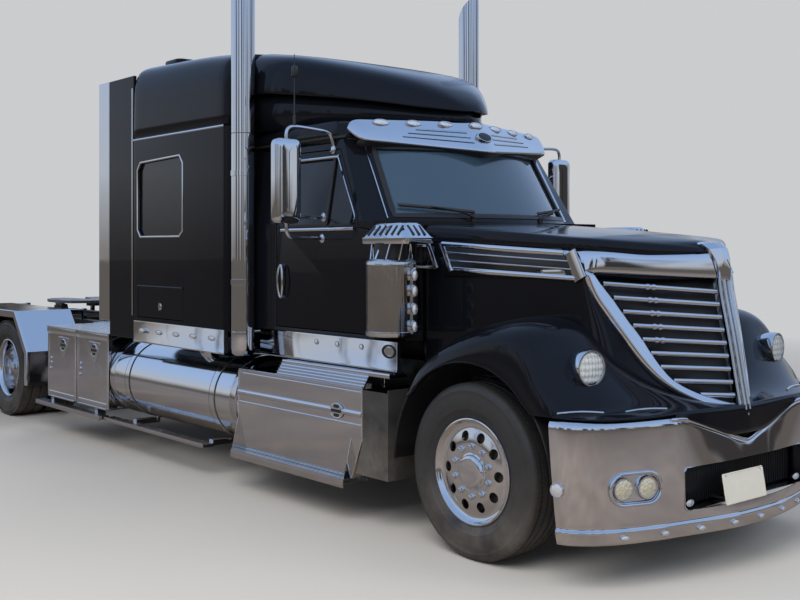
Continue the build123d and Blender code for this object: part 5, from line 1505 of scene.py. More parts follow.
def visorPlace(y, high, lift=0.0):
    # point on the front sheet: y across, high from 0 at the low edge to 1 at the top
    part = abs(y) / 0.958
    blend = math.sqrt(part * part + 0.0012)
    low = Vector((-0.987 - 0.325 * blend, y, 2.457 + 0.055 * blend))
    top = Vector((-1.182 - 0.220 * blend, y, 2.698 - 0.040 * blend))
    side = 1 if y >= 0 else -1
    run = Vector((-0.325 * min(1, blend), side * 0.958, 0.02)).normalized()
    out = run.cross((top - low).normalized()) * side
    if out.x < 0:
        out = -out
    crown = 0.014 * (1 - (2 * high - 1) ** 2)
    return low + (top - low) * high + out * (lift + crown - 0.008), out


def makeVisor():
    sheet = []
    for step in range(visor["stations"] + 1):
        share = step / visor["stations"]
        y = visor["half"] * (-0.45 * math.cos(math.pi * share) + 0.55 * (2 * share - 1))
        past = max(0.0, 1 - (visor["half"] - abs(y)) / visor["endRound"])
        height = math.sqrt(max(0.0, 1 - past ** 2)) * 0.96 + 0.04 if past else 1.0
        row = []
        for level in range(visor["rows"]):
            point, out = visorPlace(y, 0.5 + (level / (visor["rows"] - 1) - 0.5) * height)
            row.append(point - Vector((0.05 * past ** 2, 0, 0)))
        # the top and the low edges turn back under
        row = [row[0] - out * 0.026 + upward * 0.012, row[0] - out * 0.010] + row
        sheet.append(row + [row[-1] - out * 0.012, row[-1] - out * 0.034 - upward * 0.004])
    sheetOf(sheet).show("visor_sheet", chromeBright, facing=(1, 0, 0.4), subdivide=1, thick=0.003,
                        replaces=("visor",))
    strip = []
    for step in range(29):
        y = -0.93 + 1.86 * step / 28
        point, out = visorPlace(y, 0.05)
        strip.append([point - out * 0.022, point - out * 0.12 - Vector((0.02, 0, 0)),
                      (min(-1.135 - 0.27 * (y / 0.85) ** 2, point.x - 0.1), y, 2.525)])
    sheetOf(strip).show("visor_under", trimBlack, facing=(0, 0, -1), thick=0.003)
    lines = Shape()
    for high, start, end in visor["lines"]:
        parts = [step / 14 for step in range(15)]
        lines.tube([visorPlace(start + (end - start) * part, high - 0.03 * (1 - part), 0.001)[0]
                    for part in parts],
                   0.0062, sides=8)
    lines.bothSides().show("visor_lines", chromeBright)
    spots = []
    for y in visor["lamps"]:
        for side in (1, -1) if y else (1,):
            point, out = visorPlace(side * y, 0.80, -0.004)
            spots.append(facing(point, out if y else (1, 0, out.z)))
    showLamps(spots, 0.027, lensClear, "visor_lamp", wide=2.5, deep=0.022, rim=0.22)
    point = visorPlace(0.0, 0.40, 0.004)[0]
    for name, finish, grow, lift in (("visor_oval_rim", chromeBright, 1.0, 0.0),
                                     ("visor_oval", trimBlack, 0.84, 0.004)):
        oval = Shape().lathe([(-0.012, 1.0), (0.006, 1.0), (0.010, 0.96), (0.011, 0.9)], segments=40)
        oval.moved(facing(point + Vector((lift, 0, 0)), (1, 0, 0.75))
                   @ Matrix.Diagonal((1, visor["oval"][0] * grow, visor["oval"][1] * grow, 1)))
        oval.show(name, finish)


makeVisor()
print("visor made")


# windshield edge, bright pillar strips and wipers

shield = {"rows": ((1.94, -1.075, 0.89, -0.775), (2.52, -1.41, 0.85, -1.14)),
          "edge": ((0.83, 1.995), (0.79, 2.465)), "wiper": (0.33, 0.81),
          "gasket": ((-0.022, -0.002), (-0.018, 0.005), (0.0, 0.007), (0.012, 0.003), (0.016, -0.014))}


def shieldPlace(y, z, lift=0.0):
    (z0, x0, y0, m0), (z1, x1, y1, m1) = shield["rows"]
    part = (z - z0) / (z1 - z0)
    corner, half, middle = x0 + (x1 - x0) * part, y0 + (y1 - y0) * part, m0 + (m1 - m0) * part
    sag = middle - corner
    radius = (half * half + sag * sag) / (2 * sag)
    ahead = math.sqrt(max(radius * radius - y * y, 0.01))
    out = (Vector((ahead, y, 0)).normalized() + Vector((0, 0, 0.52))).normalized()
    return Vector((middle - radius + ahead, y, z)) + out * lift, out


def makeShieldTrims():
    (wideLow, low), (wideHigh, high) = shield["edge"]
    climb = [(wideLow + (wideHigh - wideLow) * step / 12, low + (high - low) * step / 12)
             for step in range(1, 12)]
    ring = [(-wideLow + 2 * wideLow * step / 24, low) for step in range(25)] + climb
    ring += [(wideHigh - 2 * wideHigh * step / 24, high)
             for step in range(25)] + [(-y, z) for y, z in reversed(climb)]
    loops = []
    for index, spot in enumerate(ring):
        along = (Vector(ring[(index + 1) % len(ring)]) - Vector(ring[index - 1])).normalized()
        inwards = Vector((-along.y, along.x))
        loops.append([shieldPlace(*(Vector(spot) + inwards * across), lift)[0]
                      for across, lift in shield["gasket"]])
    sheetOf(loops, wrap=True).show("shield_gasket", trimBlack, facing=(1, 0, 0.3), thick=0.003, angle=50)
    parts = [step / 12 for step in range(13)]
    points = [shieldPlace(0.872 - 0.036 * part, 1.97 + 0.52 * part, 0.002)[0] for part in parts]
    outs = [shieldPlace(0.86, 1.97 + 0.52 * part)[1] for part in parts]
    strips = Shape().ribbon(points, Vector((0.2, 1, 0)).normalized(), outs,
                            ((-0.011, -0.004), (-0.009, 0.005), (0, 0.008), (0.009, 0.005), (0.011, -0.004)))
    strips.bothSides().show("pillar_strips", chromeBright)


def makeWipers():
    inner, outer = shield["wiper"]
    run = [shieldPlace(inner - 0.02 + (outer - inner) * step / 16, 2.012 + 0.045 * step / 16, 0.012)
           for step in range(17)]
    blades = Shape().ribbon([point for point, out in run], Vector((-0.4, 0, 1)).normalized(),
                            [out for point, out in run], ((0.009, -0.004), (0.011, 0.006), (0.004, 0.012),
                                                          (-0.006, 0.010), (-0.010, -0.002)))
    blades.bothSides().show("wiper_blades", flapRubber)
    arm = [shieldPlace(inner, 1.965, 0.020)[0]]
    arm += [shieldPlace(inner + 0.29 * part, 1.985 + 0.055 * part, 0.030)[0] for part in (0.25, 0.5, 0.75)]
    arm += [shieldPlace(inner + 0.27, 2.040, 0.020)[0]]
    Shape().tube(smoothRun(arm, 16), 0.008, sides=8, flat=0.6).bothSides().show("wiper_arms", trimBlack)
    pivots = Shape().lathe([(-0.02, 0.018), (0.022, 0.018), (0.028, 0.012)], shieldPlace(inner, 1.965)[0],
                           "Z", 20)
    pivots.bothSides().show("wiper_pivots", trimBlack)


makeShieldTrims()
makeWipers()
print("windshield trims made")


# mirrors on the doors: a smooth shell, two glasses, tube arms; the right one carries the whip aerial

mirror = {"place": (-1.56, 1.353, 2.2205), "half": (0.104, 0.2845),
          "glasses": (("glass", 2.063, 2.488), ("spot", 1.954, 2.049)),
          "shell": ((-0.033, 0.955), (-0.028, 1.0), (0.004, 1.0), (0.020, 0.955), (0.030, 0.84)),
          "cap": ((0.034, 0.62), (0.035, 0.3)),
          "topArm": ((-1.56, 1.353, 2.49), (-1.56, 1.353, 2.54), (-1.56, 1.335, 2.575), (-1.56, 1.28, 2.588),
                     (-1.56, 1.12, 2.580), (-1.56, 1.03, 2.570), (-1.555, 0.99, 2.545), (-1.55, 0.968, 2.46)),
          "lowArm": ((-1.56, 1.353, 1.95), (-1.56, 1.35, 1.885), (-1.56, 1.325, 1.852), (-1.56, 1.28, 1.845),
                     (-1.56, 1.16, 1.842), (-1.56, 1.055, 1.840)),
          "feet": ((-1.56, 1.058, 1.840), (-1.56, 1.046, 1.985), (-1.55, 0.972, 2.452))}


def makeMirror(side, name):
    body = "cab_door_" + name
    at, (half, tall) = Vector(mirror["place"]), mirror["half"]
    loops = [(-0.026, roundedLoop(half - 0.012, tall - 0.012, 0.035))]
    for x, grow in mirror["shell"]:
        loops.append((x, roundedLoop(half - 0.06 * (1 - grow), tall - 0.06 * (1 - grow),
                                     0.045 * (0.4 + 0.6 * grow))))
    for x, grow in mirror["cap"]:
        loops.append((x, roundedLoop(half * grow * 0.9, tall * (0.55 + 0.45 * grow), 0.03)))
    shell = Shape().loft([[at + Vector((x, y, z)) for y, z in loop] for x, loop in loops])
    shell.onSide(side).show("mirror_shell_" + name, chromeBright, body, angle=60,
                            replaces=("mirror_" + name,))
    for label, low, high in mirror["glasses"]:
        middle, reach = (low + high) / 2, (high - low) / 2
        rings = []
        for x, inset in ((-0.024, 0.0), (-0.030, 0.002), (-0.0315, 0.010)):
            loop = roundedLoop(half - 0.016 - inset, reach - inset, 0.024)
            rings.append([(at.x + x, at.y + y, middle + z) for y, z in loop])
        Shape().loft(rings).onSide(side).show("mirror_%s_%s" % (label, name), mirrorFace, body, angle=50)
    arms = Shape().tube(smoothRun(mirror["topArm"], 30), 0.0125, sides=12)
    arms.tube(smoothRun(mirror["lowArm"], 24), 0.0125, sides=12)
    arms.tube([(-1.56, 1.26, 1.985), (-1.56, 1.04, 1.985)], 0.012, sides=12)
    arms.onSide(side).show("mirror_arms_" + name, chromeBright, body)
    feet = Shape()
    for x, y, z in mirror["feet"]:
        feet.lathe([(-0.008, 0.030), (0.006, 0.030), (0.011, 0.022), (0.011, 0.0)], (x, y, z), "Y", 24)
        for across, up in circle(3, 0.021):
            feet.lathe([(0.004, 0.005), (0.011, 0.005)], (x - up, y, z + across), "Y", 6)
    feet.weld(0.00005).onSide(side).show("mirror_feet_" + name, chromeBright, body)


makeMirror(-1, "right")
whip = Shape().lathe([(2.585, 0.010), (2.66, 0.010), (2.67, 0.005), (2.92, 0.0035), (2.922, 0.018),
                      (2.93, 0.021), (2.985, 0.021), (2.993, 0.016), (3.0, 0.0035), (3.075, 0.002)],
                      (-1.56, -1.29, 0), "Z", 14)
whip.show("aerial", trimBlack, "cab_door_right")
makeMirror(1, "left")
print("mirrors made")


# air canisters on the cowl: bright drum, struts, slotted cap and a strip of tall lamps

canister = {"at": (-0.73, 1.135), "radius": 0.160, "low": 1.230, "high": 1.70,
            "lamps": (1.610, 1.513, 1.403, 1.296),
            "cap": ((1.800, -0.925, -0.478, 0.995, 1.228), (1.812, -0.93, -0.472, 0.990, 1.232),
                    (1.838, -0.93, -0.472, 0.990, 1.232), (1.850, -0.918, -0.488, 1.000, 1.222),
                    (1.918, -0.86, -0.552, 1.022, 1.186), (1.929, -0.845, -0.568, 1.034, 1.172)),
            "bead": ((0.0, 0.016), (0.004, 0.005), (0.014, 0.0), (0.030, 0.0), (0.034, 0.004), (0.05, 0.004)),
            "shoulder": ((0.05, 0.004), (0.034, 0.004), (0.030, 0.0), (0.014, 0.0), (0.003, 0.006),
                         (-0.006, 0.022), (-0.012, 0.042))}


def makeCanisters():
    x, y = canister["at"]
    radius, low, high = canister["radius"], canister["low"], canister["high"]
    section = [(low + up, radius - inset) for up, inset in canister["bead"]]
    section += [(high - down, radius - inset) for down, inset in canister["shoulder"]]
    drum = Shape().lathe(section, (x, y, 0), "Z", 64)
    drum.bothSides().show("canister_drums", drumMetal, replaces=("air_cleaners",))
    core = Shape().lathe([(high - 0.01, 0.105), (1.805, 0.105)], (x, y, 0), "Z", 40)
    core.bar((x, y - 0.19, 1.40), (x, y - 0.10, 1.40), 0.26, 0.07)
    core.bothSides().show("canister_cores", trimBlack, bevel=0.003)
    struts, cap, slots = Shape(), Shape(), Shape()
    for step in range(10):
        turn = 2 * math.pi * (step + 0.5) / 10
        along, across = math.cos(turn), math.sin(turn)
        foot = (x + 0.128 * along, y + 0.128 * across, high + 0.004)
        head = (max(-0.915, min(-0.50, x + 0.15 * along)), max(1.01, min(1.215, y + 0.10 * across)), 1.804)
        struts.tube([foot, head], 0.0065, sides=8)
    struts.bothSides().show("canister_struts", chromeBright)
    cap.loft([[((rear + front) / 2 + a, (inner + outer) / 2 + b, z)
               for a, b in roundedLoop((front - rear) / 2, (outer - inner) / 2, 0.045)]
              for z, rear, front, inner, outer in canister["cap"]])
    cap.bothSides().show("canister_caps", chromeBright, angle=30, bevel=0.002)
    # dark openings let into the slanted side and front of each cap
    for step in range(6):
        at = -0.845 + 0.058 * step
        slots.bar((at - 0.012, 1.2215, 1.855), (at * 0.93 - 0.035, 1.1885, 1.912), 0.008, 0.018,
                  up=(0, 1, 0.4))
    for step in range(3):
        at = 1.065 + 0.045 * step
        slots.bar((-0.4905, at, 1.857), (-0.5495, at, 1.912), 0.008, 0.016, up=(1, 0, 0.9))
    slots.bothSides().show("canister_slots", trimBlack)
    strip = Shape().bar((-0.585, 1.088, low + 0.02), (-0.585, 1.088, high - 0.02), 0.05, 0.042, up=(0, 1, 0))
    strip.bothSides().show("canister_strips", chromeBright, bevel=0.002)
    showLamps(bothPlaces([(-0.566, 1.094, z) for z in canister["lamps"]], (1, 0.35, 0)), 0.037, lensClear,
              "canister_lamp", wide=0.55, deep=0.03, rim=0.2)


makeCanisters()
print("air canisters made")


# exhaust stacks: slash-cut tubes in clamps, with their elbows

stack = {"at": (-2.43, 1.152), "radius": 0.0875, "high": 3.958, "slash": 0.208, "seams": (1.16, 2.62),
         "clamps": (1.525, 2.325), "foot": ((0.982, 0.045), (0.986, 0.066), (1.0, 0.081), (1.03, 0.0875)),
         "lip": ((0.0, 0.0), (0.0015, -0.0015), (0.0035, -0.0015), (0.005, 0.0)), "wall": 0.005,
         "elbow": ((1.13, 1.14), (1.09, 1.10), (1.0, 1.078), (0.80, 1.075), (0.5, 1.075), (0.25, 1.075))}


def makeStacks():
    x, y = stack["at"]
    radius = stack["radius"]
    section = list(stack["foot"])
    for z in stack["seams"]:
        section += [(z - 0.003, radius), (z, radius - 0.003), (z + 0.003, radius)]
    rows = [[(x + a, y + b, z) for a, b in circle(56, wide)] for z, wide in section + [(3.40, radius)]]
    for inset, drop in stack["lip"]:
        rows.append([(x + a, y + b,
                      stack["high"] - stack["slash"] * (radius - a) / (2 * radius) - 0.002 - drop)
                     for a, b in circle(56, radius - inset)])
    rows.append([(x + a, y + b, 3.47) for a, b in circle(56, radius - stack["wall"])])
    Shape().loft(rows).bothSides().show("stack_tubes", chromeBright, replaces=("exhaust_stacks",))
    elbow = Shape().tube(smoothRun([(x, across, z) for across, z in stack["elbow"]], 26), 0.060, sides=28)
    for at in (0.95, 0.55):
        elbow.lathe([(-0.012, 0.064), (-0.010, 0.067), (0.010, 0.067), (0.012, 0.064)], (x, at, 1.0755), "Y",
                    32)
    elbow.bothSides().show("stack_elbows", boxSteel)
    clamps, bolts = Shape(), Shape()
    for z in stack["clamps"]:
        clamps.lathe([(z - 0.022, radius + 0.0005), (z - 0.020, radius + 0.0045),
                      (z + 0.020, radius + 0.0045), (z + 0.022, radius + 0.0005)], (x, y, 0), "Z", 56)
        clamps.bar((-2.561, y, z), (x - radius + 0.004, y, z), 0.040, 0.05)
        for across in (-0.018, 0.018):
            bolts.lathe([(-0.004, 0.008), (0.008, 0.008), (0.010, 0.006)],
                        (x - 0.1035, y + across, z + 0.021), "Z", 6)
    clamps.bothSides().show("stack_clamps", chromeBright, angle=30)
    bolts.bothSides().show("stack_bolts", boxSteel)


makeStacks()
print("stacks made")


# door trims that ride on the doors, window edges, and the marker line of the cab side

doors = {"handle": (-2.035, 1.088, 1.538, 0.115, 0.030), "sill": (-2.06, -1.205, 1.903),
         "head": ((-2.045, 0.982, 2.398), (-1.8, 0.982, 2.398), (-1.50, 0.982, 2.398), (-1.478, 0.984, 2.388),
                  (-1.35, 1.016, 2.195), (-1.222, 1.046, 2.005), (-1.208, 1.055, 1.96))}


def makeDoorTrims(side, name):
    x, y, z, tall, wide = doors["handle"]
    turns = [2 * math.pi * step / 36 for step in range(36)]
    loop = [Vector((x + wide * math.cos(turn), y + 0.0036 * math.cos(turn * 2), z + tall * math.sin(turn)))
            for turn in turns]
    rings = []
    for index, point in enumerate(loop):
        flat = (loop[(index + 1) % 36] - loop[index - 1]).normalized().cross(outward)
        rings.append([point + flat * a + outward * b for a, b in circle(10, 0.009, 0.007)])
    handle = sheetOf(rings, loop=True, wrap=True)
    for up in (-1, 1):
        handle.lathe([(1.055, 0.014), (1.086, 0.010)], (x, 0, z + up * (tall - 0.002)), "Y", 16)
    cup = Shape().lathe([(-0.002, 1.0), (0.004, 0.97), (0.005, 0.9)])
    cup.moved(facing((x, 1.0595, z), (0, 1, 0)) @ Matrix.Diagonal((1, wide * 0.62, tall * 0.86, 1)))
    rear, front, level = doors["sill"]
    sill = Shape().bar((rear, 1.0635, level), (front, 1.0635, level), 0.020, 0.014)
    head = Shape().ribbon(smoothRun(doors["head"], 40), Vector((0.35, 0, 1)).normalized(),
                          Vector((0, 1, 0.16)).normalized(),
                          ((0.008, -0.008), (0.008, 0.003), (0, 0.006), (-0.008, 0.003), (-0.008, -0.008)))
    bar = Shape().bar((-1.535, 1.046, 1.93), (-1.535, 0.968, 2.385), 0.022, 0.016, up=(1, 0, 0))
    for shape, finish, label in ((handle, chromeBright, "door_handle_"), (cup, trimBlack, "door_cup_"),
                                 (sill, chromeBright, "door_sill_"), (head, chromeBright, "window_strip_"),
                                 (bar, trimBlack, "window_bar_")):
        shape.onSide(side).show(label + name, finish, "cab_door_" + name)


def makeSleeperRims():
    outline = [Vector(spot)
               for spot in ((-3.99, 1.93), (-3.99, 2.43), (-3.94, 2.49), (-3.27, 2.51), (-3.22, 2.45),
                                         (-3.22, 1.91), (-3.27, 1.87), (-3.94, 1.87))]
    rings = []
    for index, here in enumerate(outline):
        come = (here - outline[index - 1]).normalized()
        go = (outline[(index + 1) % len(outline)] - here).normalized()
        way = (come - go).normalized() / max(0.3, math.cos(come.angle(go) / 2))
        rings.append([(here.x + way.x * across, 1.219 + out, here.y + way.y * across) for across, out in
                      ((-0.006, -0.012), (-0.006, 0.005), (0.002, 0.0085), (0.010, 0.007), (0.014, 0.0))])
    sheetOf(rings, wrap=True).bothSides().show("sleeper_window_rims", chromeSheet, thick=0.002)


for side, name in reversed(sides):
    makeDoorTrims(side, name)
makeSleeperRims()
print("cab trims made")


# step boxes beside the cab: bright box, its lines and band, treads above and below, black splash guards that
# are partly painted shade

steps = {"rear": -2.44, "front": -0.955, "top": 0.880, "face": 1.184, "reach": 1.248, "lines": (0.858, 0.648),
         "band": (0.698, 0.737), "latch": (-1.22, 0.716), "ribs": 44}


def showLatches(places, name, body, wide, tall):
    # pressed oval with three dark slots
    ring, slots = Shape(), Shape()
    for place in places:
        part = Shape().lathe([(-0.004, 1.0), (0.003, 1.0), (0.005, 0.93), (0.004, 0.86)])
        ring.add(part, place @ Matrix.Diagonal((1, wide, tall, 1)))
        for up, half in ((0.58, 0.38), (0.0, 0.80), (-0.58, 0.38)):
            loop = roundedLoop(wide * half, tall * 0.21, tall * 0.20, steps=4)
            slots.add(Shape().prism([(0.0035, y, z + up * tall) for y, z in loop], (0.003, 0, 0)), place)
    ring.show(name, chromeBright, body, angle=12)
    slots.show(name + "_slots", trimBlack, body)


def makeStepBoxes():
    rear, front, face, top, reach = (steps[name] for name in ("rear", "front", "face", "top", "reach"))
    box = Shape().prism([(rear, 0.46, 0.30), (front - 0.11, 0.46, 0.30), (front, 0.46, 0.556),
                         (front, 0.46, top), (rear, 0.46, top)], (0, face - 0.46, 0))
    box.bothSides().show("step_box_shells", boxSteel, bevel=0.004, replaces=("step_boxes",))
    lines = Shape()
    for z in steps["lines"]:
        lines.bar((rear + 0.004, face + 0.003, z), (front - 0.004, face + 0.003, z), 0.011, 0.010)
    low, high = steps["band"]
    half = (high - low) / 2
    arc = [math.radians(15 * step) for step in range(13)]
    lines.prism([(rear + 0.004, face + 0.013 * math.sin(a), low + half - half * math.cos(a)) for a in arc],
                (front - rear - 0.008, 0, 0))
    for x in (rear + 0.006, front - 0.006):
        lines.bar((x, face, 0.57), (x, face, top - 0.004), 0.012, 0.010, up=(1, 0, 0))
    lines.bar((front - 0.114, face, 0.302), (front - 0.008, face, 0.556), 0.012, 0.010, up=(-1, 0, 0.4))
    lines.bothSides().show("step_lines", chromeBright)
    Shape().box((rear, 1.05, 0.268), (front - 0.115, reach, 0.300)).bothSides().show("step_treads",
                                                                                     treadPlate, bevel=0.003)
    lip = Shape().bar((rear, reach, 0.272), (front - 0.115, reach, 0.272), 0.060, 0.010)
    for x in (rear + 0.004, front - 0.122):
        lip.prism([(x, face, 0.56), (x, face, 0.27), (x, reach - 0.002, 0.27), (x, reach - 0.002, 0.305)],
                  (0.005, 0, 0))
    lip.bothSides().show("step_lips", boxSteel, bevel=0.001)
    hangers = Shape()
    for x in (-2.2, -1.35):
        hangers.bar((x, 0.60, 0.290), (x, 1.20, 0.290), 0.02, 0.05)
    for x in (rear + 0.1, front - 0.7):
        hangers.box((x, 0.432, 0.73), (x + 0.5, 0.47, 0.86))
    hangers.bothSides().show("step_hangers", frameBlack, bevel=0.002)
    # black splash guard over the front of each box and facing the wheel; its black also stands in as painted
    # shade for the shadow beside the front wheel
    guardShade = Shape().prism([(-0.955, 1.176, 0.56), (-0.955, 1.176, 0.876), (-0.702, 1.176, 0.876),
                            (-0.702, 1.176, 0.335), (-1.03, 1.176, 0.335)], (0, 0.007, 0))
    guardShade.box((-0.712, 0.47, 0.335), (-0.702, 1.182, 0.896)).box((-0.955, 0.44, 0.742),
                                                                  (-0.702, 0.478, 0.842))
    guardShade.bothSides().show("splash_guard_and_shade", flapRubber, bevel=0.002)
    # the upper tread under the cab skirt: a ribbed plate on two rails, with smooth rails outside it
    rib = Shape().bar((-1.93, 1.000, 0.984), (-1.93, 1.118, 0.984), 0.010, 0.010).bothSides()
    ribs = inRows(rib, "tread_ribs", steps["ribs"], (1.16 / (steps["ribs"] - 1), 0, 0), chromeBright)
    showPiece(ribs, chromeBright)
    plate = Shape().box((-1.945, 0.985, 0.962), (-0.755, 1.125, 0.980))
    plate.bar((-1.945, 1.124, 0.974), (-0.755, 1.124, 0.974), 0.030, 0.012)
    # the sloped riser down to the box, with rails along it
    plate.prism([(-1.945, 1.116, 0.972), (-1.945, 1.128, 0.972), (-1.945, 1.183, 0.884),
                 (-1.945, 1.171, 0.878)], (0.99, 0, 0))
    for step in range(5):
        y, z = 1.131 + 0.049 * step / 4, 0.966 - 0.073 * step / 4
        plate.bar((-1.95, y, z), (-0.957, y, z), 0.009, 0.013)
    plate.bar((-2.43, 1.180, 0.884), (-0.958, 1.180, 0.884), 0.014, 0.014)
    for x in (-1.9, -1.35, -0.98):
        plate.bar((x, 0.99, 0.872), (x, 0.99, 0.968), 0.03, 0.02, up=(1, 0, 0))
    plate.bothSides().show("tread_plates", boxSteel, bevel=0.001)
    x, z = steps["latch"]
    showLatches(bothPlaces([(x, face + 0.007, z)], (0, 1, 0)), "step_latch", "chassis", 0.072, 0.050)


makeStepBoxes()
print("step boxes made")


# skirts: bright sheets with rolled edges, lamps and the blank oval

skirts = {"cabLamps": ((-1.611, 1.0695, 1.133), (-1.374, 1.0695, 1.133), (-1.109, 1.0695, 1.133)),
          "sleeperLamps": ((-3.896, 1.229, 1.085), (-3.60, 1.229, 1.085), (-3.31, 1.229, 1.087),
                           (-3.035, 1.229, 1.09), (-2.748, 1.229, 1.092)),
          "section": ((0.000, 0.178), (0.006, 0.180), (0.008, 0.172), (0.008, 0.012), (0.012, 0.004),
                      (0.010, -0.004), (0.0, -0.006)),
          "sheets": ((-2.325, -0.752, 1.062, 1.0, 1.184), (-4.055, -2.575, 1.2215, 0.985, 1.162)),
          "oval": (-0.828, 1.122)}


def makeSkirts():
    sheet, oval, middle = Shape(), Shape(), Shape()
    for rear, front, half, low, top in skirts["sheets"]:
        sheet.grid([[(x, half + out - inset, low + up * (top - low) / 0.18) for out, up in skirts["section"]]
                    for x, inset in ((rear, 0.003), (rear + 0.004, 0), (front - 0.004, 0), (front, 0.003))])
    sheet.bothSides().show("skirt_sheets", chromeSheet, thick=0.003, replaces=("side_skirts",))
    backs = Shape().box((-2.32, 1.035, 1.0), (-0.76, 1.062, 1.18)).box((-4.05, 1.19, 0.99),
                                                                       (-2.58, 1.219, 1.15))
    backs.bothSides().show("skirt_backs", trimBlack)
    showLamps(bothPlaces(skirts["cabLamps"], outward), 0.019, lensClear, "skirt_lamp", deep=0.012, rim=0.26)
    showLamps(bothPlaces(skirts["sleeperLamps"], outward), 0.020, lensClear, "sleeper_lamp", wide=2.6,
              deep=0.010, rim=0.24)
    x, z = skirts["oval"]
    for place in bothPlaces([(x, 1.068, z)], outward):
        part = Shape().lathe([(-0.003, 1.0), (0.006, 1.0), (0.008, 0.9), (0.007, 0.74), (0.001, 0.70)])
        oval.add(part, place @ Matrix.Diagonal((1, 0.072, 0.044, 1)))
    oval.show("skirt_oval", trimBlack)
    for place in bothPlaces([(x, 1.0695, z)], outward):
        middle.add(Shape().prism([(-0.002, y, up) for y, up in roundedLoop(0.046, 0.026, 0.024)],
                                 (0.005, 0, 0)), place)
    middle.show("skirt_oval_centre", chromeSheet)


makeSkirts()
print("skirts made")


# tanks: pale end rings, strap bolts, filler caps and the boards hung under them

tanks = {"y": 0.87, "z": 0.63, "radius": 0.33, "straps": (-2.80, -4.23), "ends": ((-2.45, -1), (-4.58, 1))}


def makeTankParts():
    y, z, radius = tanks["y"], tanks["z"], tanks["radius"]
    rings, bolts, rubbers = Shape(), Shape(), Shape()
    for end, way in tanks["ends"]:
        rings.lathe([(end + way * 0.010, radius - 0.010), (end + way * 0.014, radius + 0.003),
                     (end + way * 0.085, radius + 0.004), (end + way * 0.095, radius + 0.001)], (0, y, z),
                     segments=64)
    rings.bothSides().show("tank_rings", boxSteel, angle=30)
    for x in tanks["straps"]:
        for along in (-0.022, 0.022):
            bolts.lathe([(0.0, 0.010), (0.024, 0.010), (0.027, 0.007)], (x + along, y + 0.06, 0.262), "Z", 6)
        rubbers.lathe([(x - 0.040, radius + 0.004), (x - 0.040, radius + 0.0055),
                       (x + 0.040, radius + 0.0055), (x + 0.040, radius + 0.004)], (0, y, z), segments=64)
    bolts.bothSides().show("tank_bolts", boxSteel)
    rubbers.bothSides().show("tank_rubbers", flapRubber, angle=30)
    cap = Shape().lathe([(-0.02, 0.052), (0.018, 0.052), (0.020, 0.060), (0.050, 0.060), (0.056, 0.054),
                         (0.057, 0.0)],
                        segments=40).weld().box((0.055, -0.045, -0.006), (0.066, 0.045, 0.006))
    cap.moved(facing((-3.15, y + 0.145, z + radius * 0.895), (0, 0.44, 0.9)))
    cap.bothSides().show("tank_caps", chromeBright, bevel=0.001)
    boards = Shape().box((-4.655, 1.122, 0.2625), (-2.905, 1.212, 0.2665))
    boards.bothSides().show("tank_boards", treadPlate, bevel=0.001)
    lips = Shape().bar((-4.66, 1.2165, 0.252), (-2.90, 1.2165, 0.252), 0.036, 0.006)
    lips.bothSides().show("tank_board_lips", boxSteel)


makeTankParts()
print("tank parts made")


# tool boxes: framed doors with a rolled top strip, shield latches and studs, posts between them

tools = {"doors": (("front", -5.285, -4.595), ("rear", -5.975, -5.295)), "face": 1.200,
         "strip": ((0.0, 1.001), (0.010, 1.000), (0.0115, 0.985), (0.0115, 0.955), (0.008, 0.944),
                   (0.0, 0.942)),
         "shield": ((-0.12, 0.918), (0.12, 0.918), (0.115, 0.86), (0.03, 0.735), (0, 0.722), (-0.03, 0.735),
                    (-0.115, 0.86)),
         "studs": ((0.10, 0.70), (0.10, 0.655), (0.085, 0.60))}


def makeToolDoor(place, rear, front, side, name):
    body = "tool_door_" + place + "_" + name
    face, middle = tools["face"], (rear + front) / 2 + 0.05
    strip = sheetOf([[(x, face + out - inset, z) for out, z in tools["strip"]] for x, inset in
                     ((rear + 0.004, 0.004), (rear + 0.012, 0), (front - 0.012, 0), (front - 0.004, 0.004))])
    strip.onSide(side).show(body + "_strip", chromeBright, body, facing=(0, side, 0), thick=0.002)
    border, studs = Shape(), Shape()
    for x in (rear + 0.035, front - 0.035):
        border.bar((x, face + 0.001, 0.37), (x, face + 0.001, 0.935), 0.022, 0.008, up=(1, 0, 0))
    border.bar((rear + 0.035, face + 0.001, 0.372), (front - 0.035, face + 0.001, 0.372), 0.022, 0.008)
    border.onSide(side).show(body + "_frame", chromeBright, body)
    latch = Shape().prism([(middle + x, face - 0.002, z) for x, z in tools["shield"]], (0, 0.009, 0))
    latch.onSide(side).show(body + "_shield", chromeBright, body, bevel=0.003)
    for x, z in tools["studs"]:
        studs.lathe([(face - 0.003, 0.017), (face + 0.006, 0.017), (face + 0.011, 0.009),
                     (face + 0.0118, 0.0)],
                    (rear + x, 0, z), "Y", 20)
    studs.weld().onSide(side).show(body + "_studs", chromeBright, body)
    showLatches([facing((middle, side * (face + 0.0065), 0.845), (0, side, 0))], body + "_latch", body, 0.072,
                0.060)


def makeToolParts():
    posts = Shape()
    for x, wide in ((-5.290, 0.009), (-4.591, 0.014)):
        posts.bar((x, 1.205, 0.34), (x, 1.205, 1.004), wide, 0.018, up=(1, 0, 0))
    posts.bothSides().show("tool_posts", chromeBright)
    lid = Shape().box((-5.99, 0.55, 1.0105), (-4.58, 1.204, 1.0135))
    lid.bar((-5.99, 1.2035, 1.008), (-4.58, 1.2035, 1.008), 0.012, 0.008)
    lid.bothSides().show("tool_lids", treadPlate, bevel=0.001)
    step = Shape().box((-6.148, 1.162, 0.2705), (-4.682, 1.248, 0.2735))
    step.bothSides().show("tool_steps", treadPlate, bevel=0.001)
    lip = Shape().bar((-6.15, 1.2505, 0.254), (-4.68, 1.2505, 0.254), 0.044, 0.006)
    lip.bothSides().show("tool_step_lips", boxSteel)


for side, name in sides:
    for place, rear, front in tools["doors"]:
        makeToolDoor(place, rear, front, side, name)
makeToolParts()
print("tool boxes trimmed")


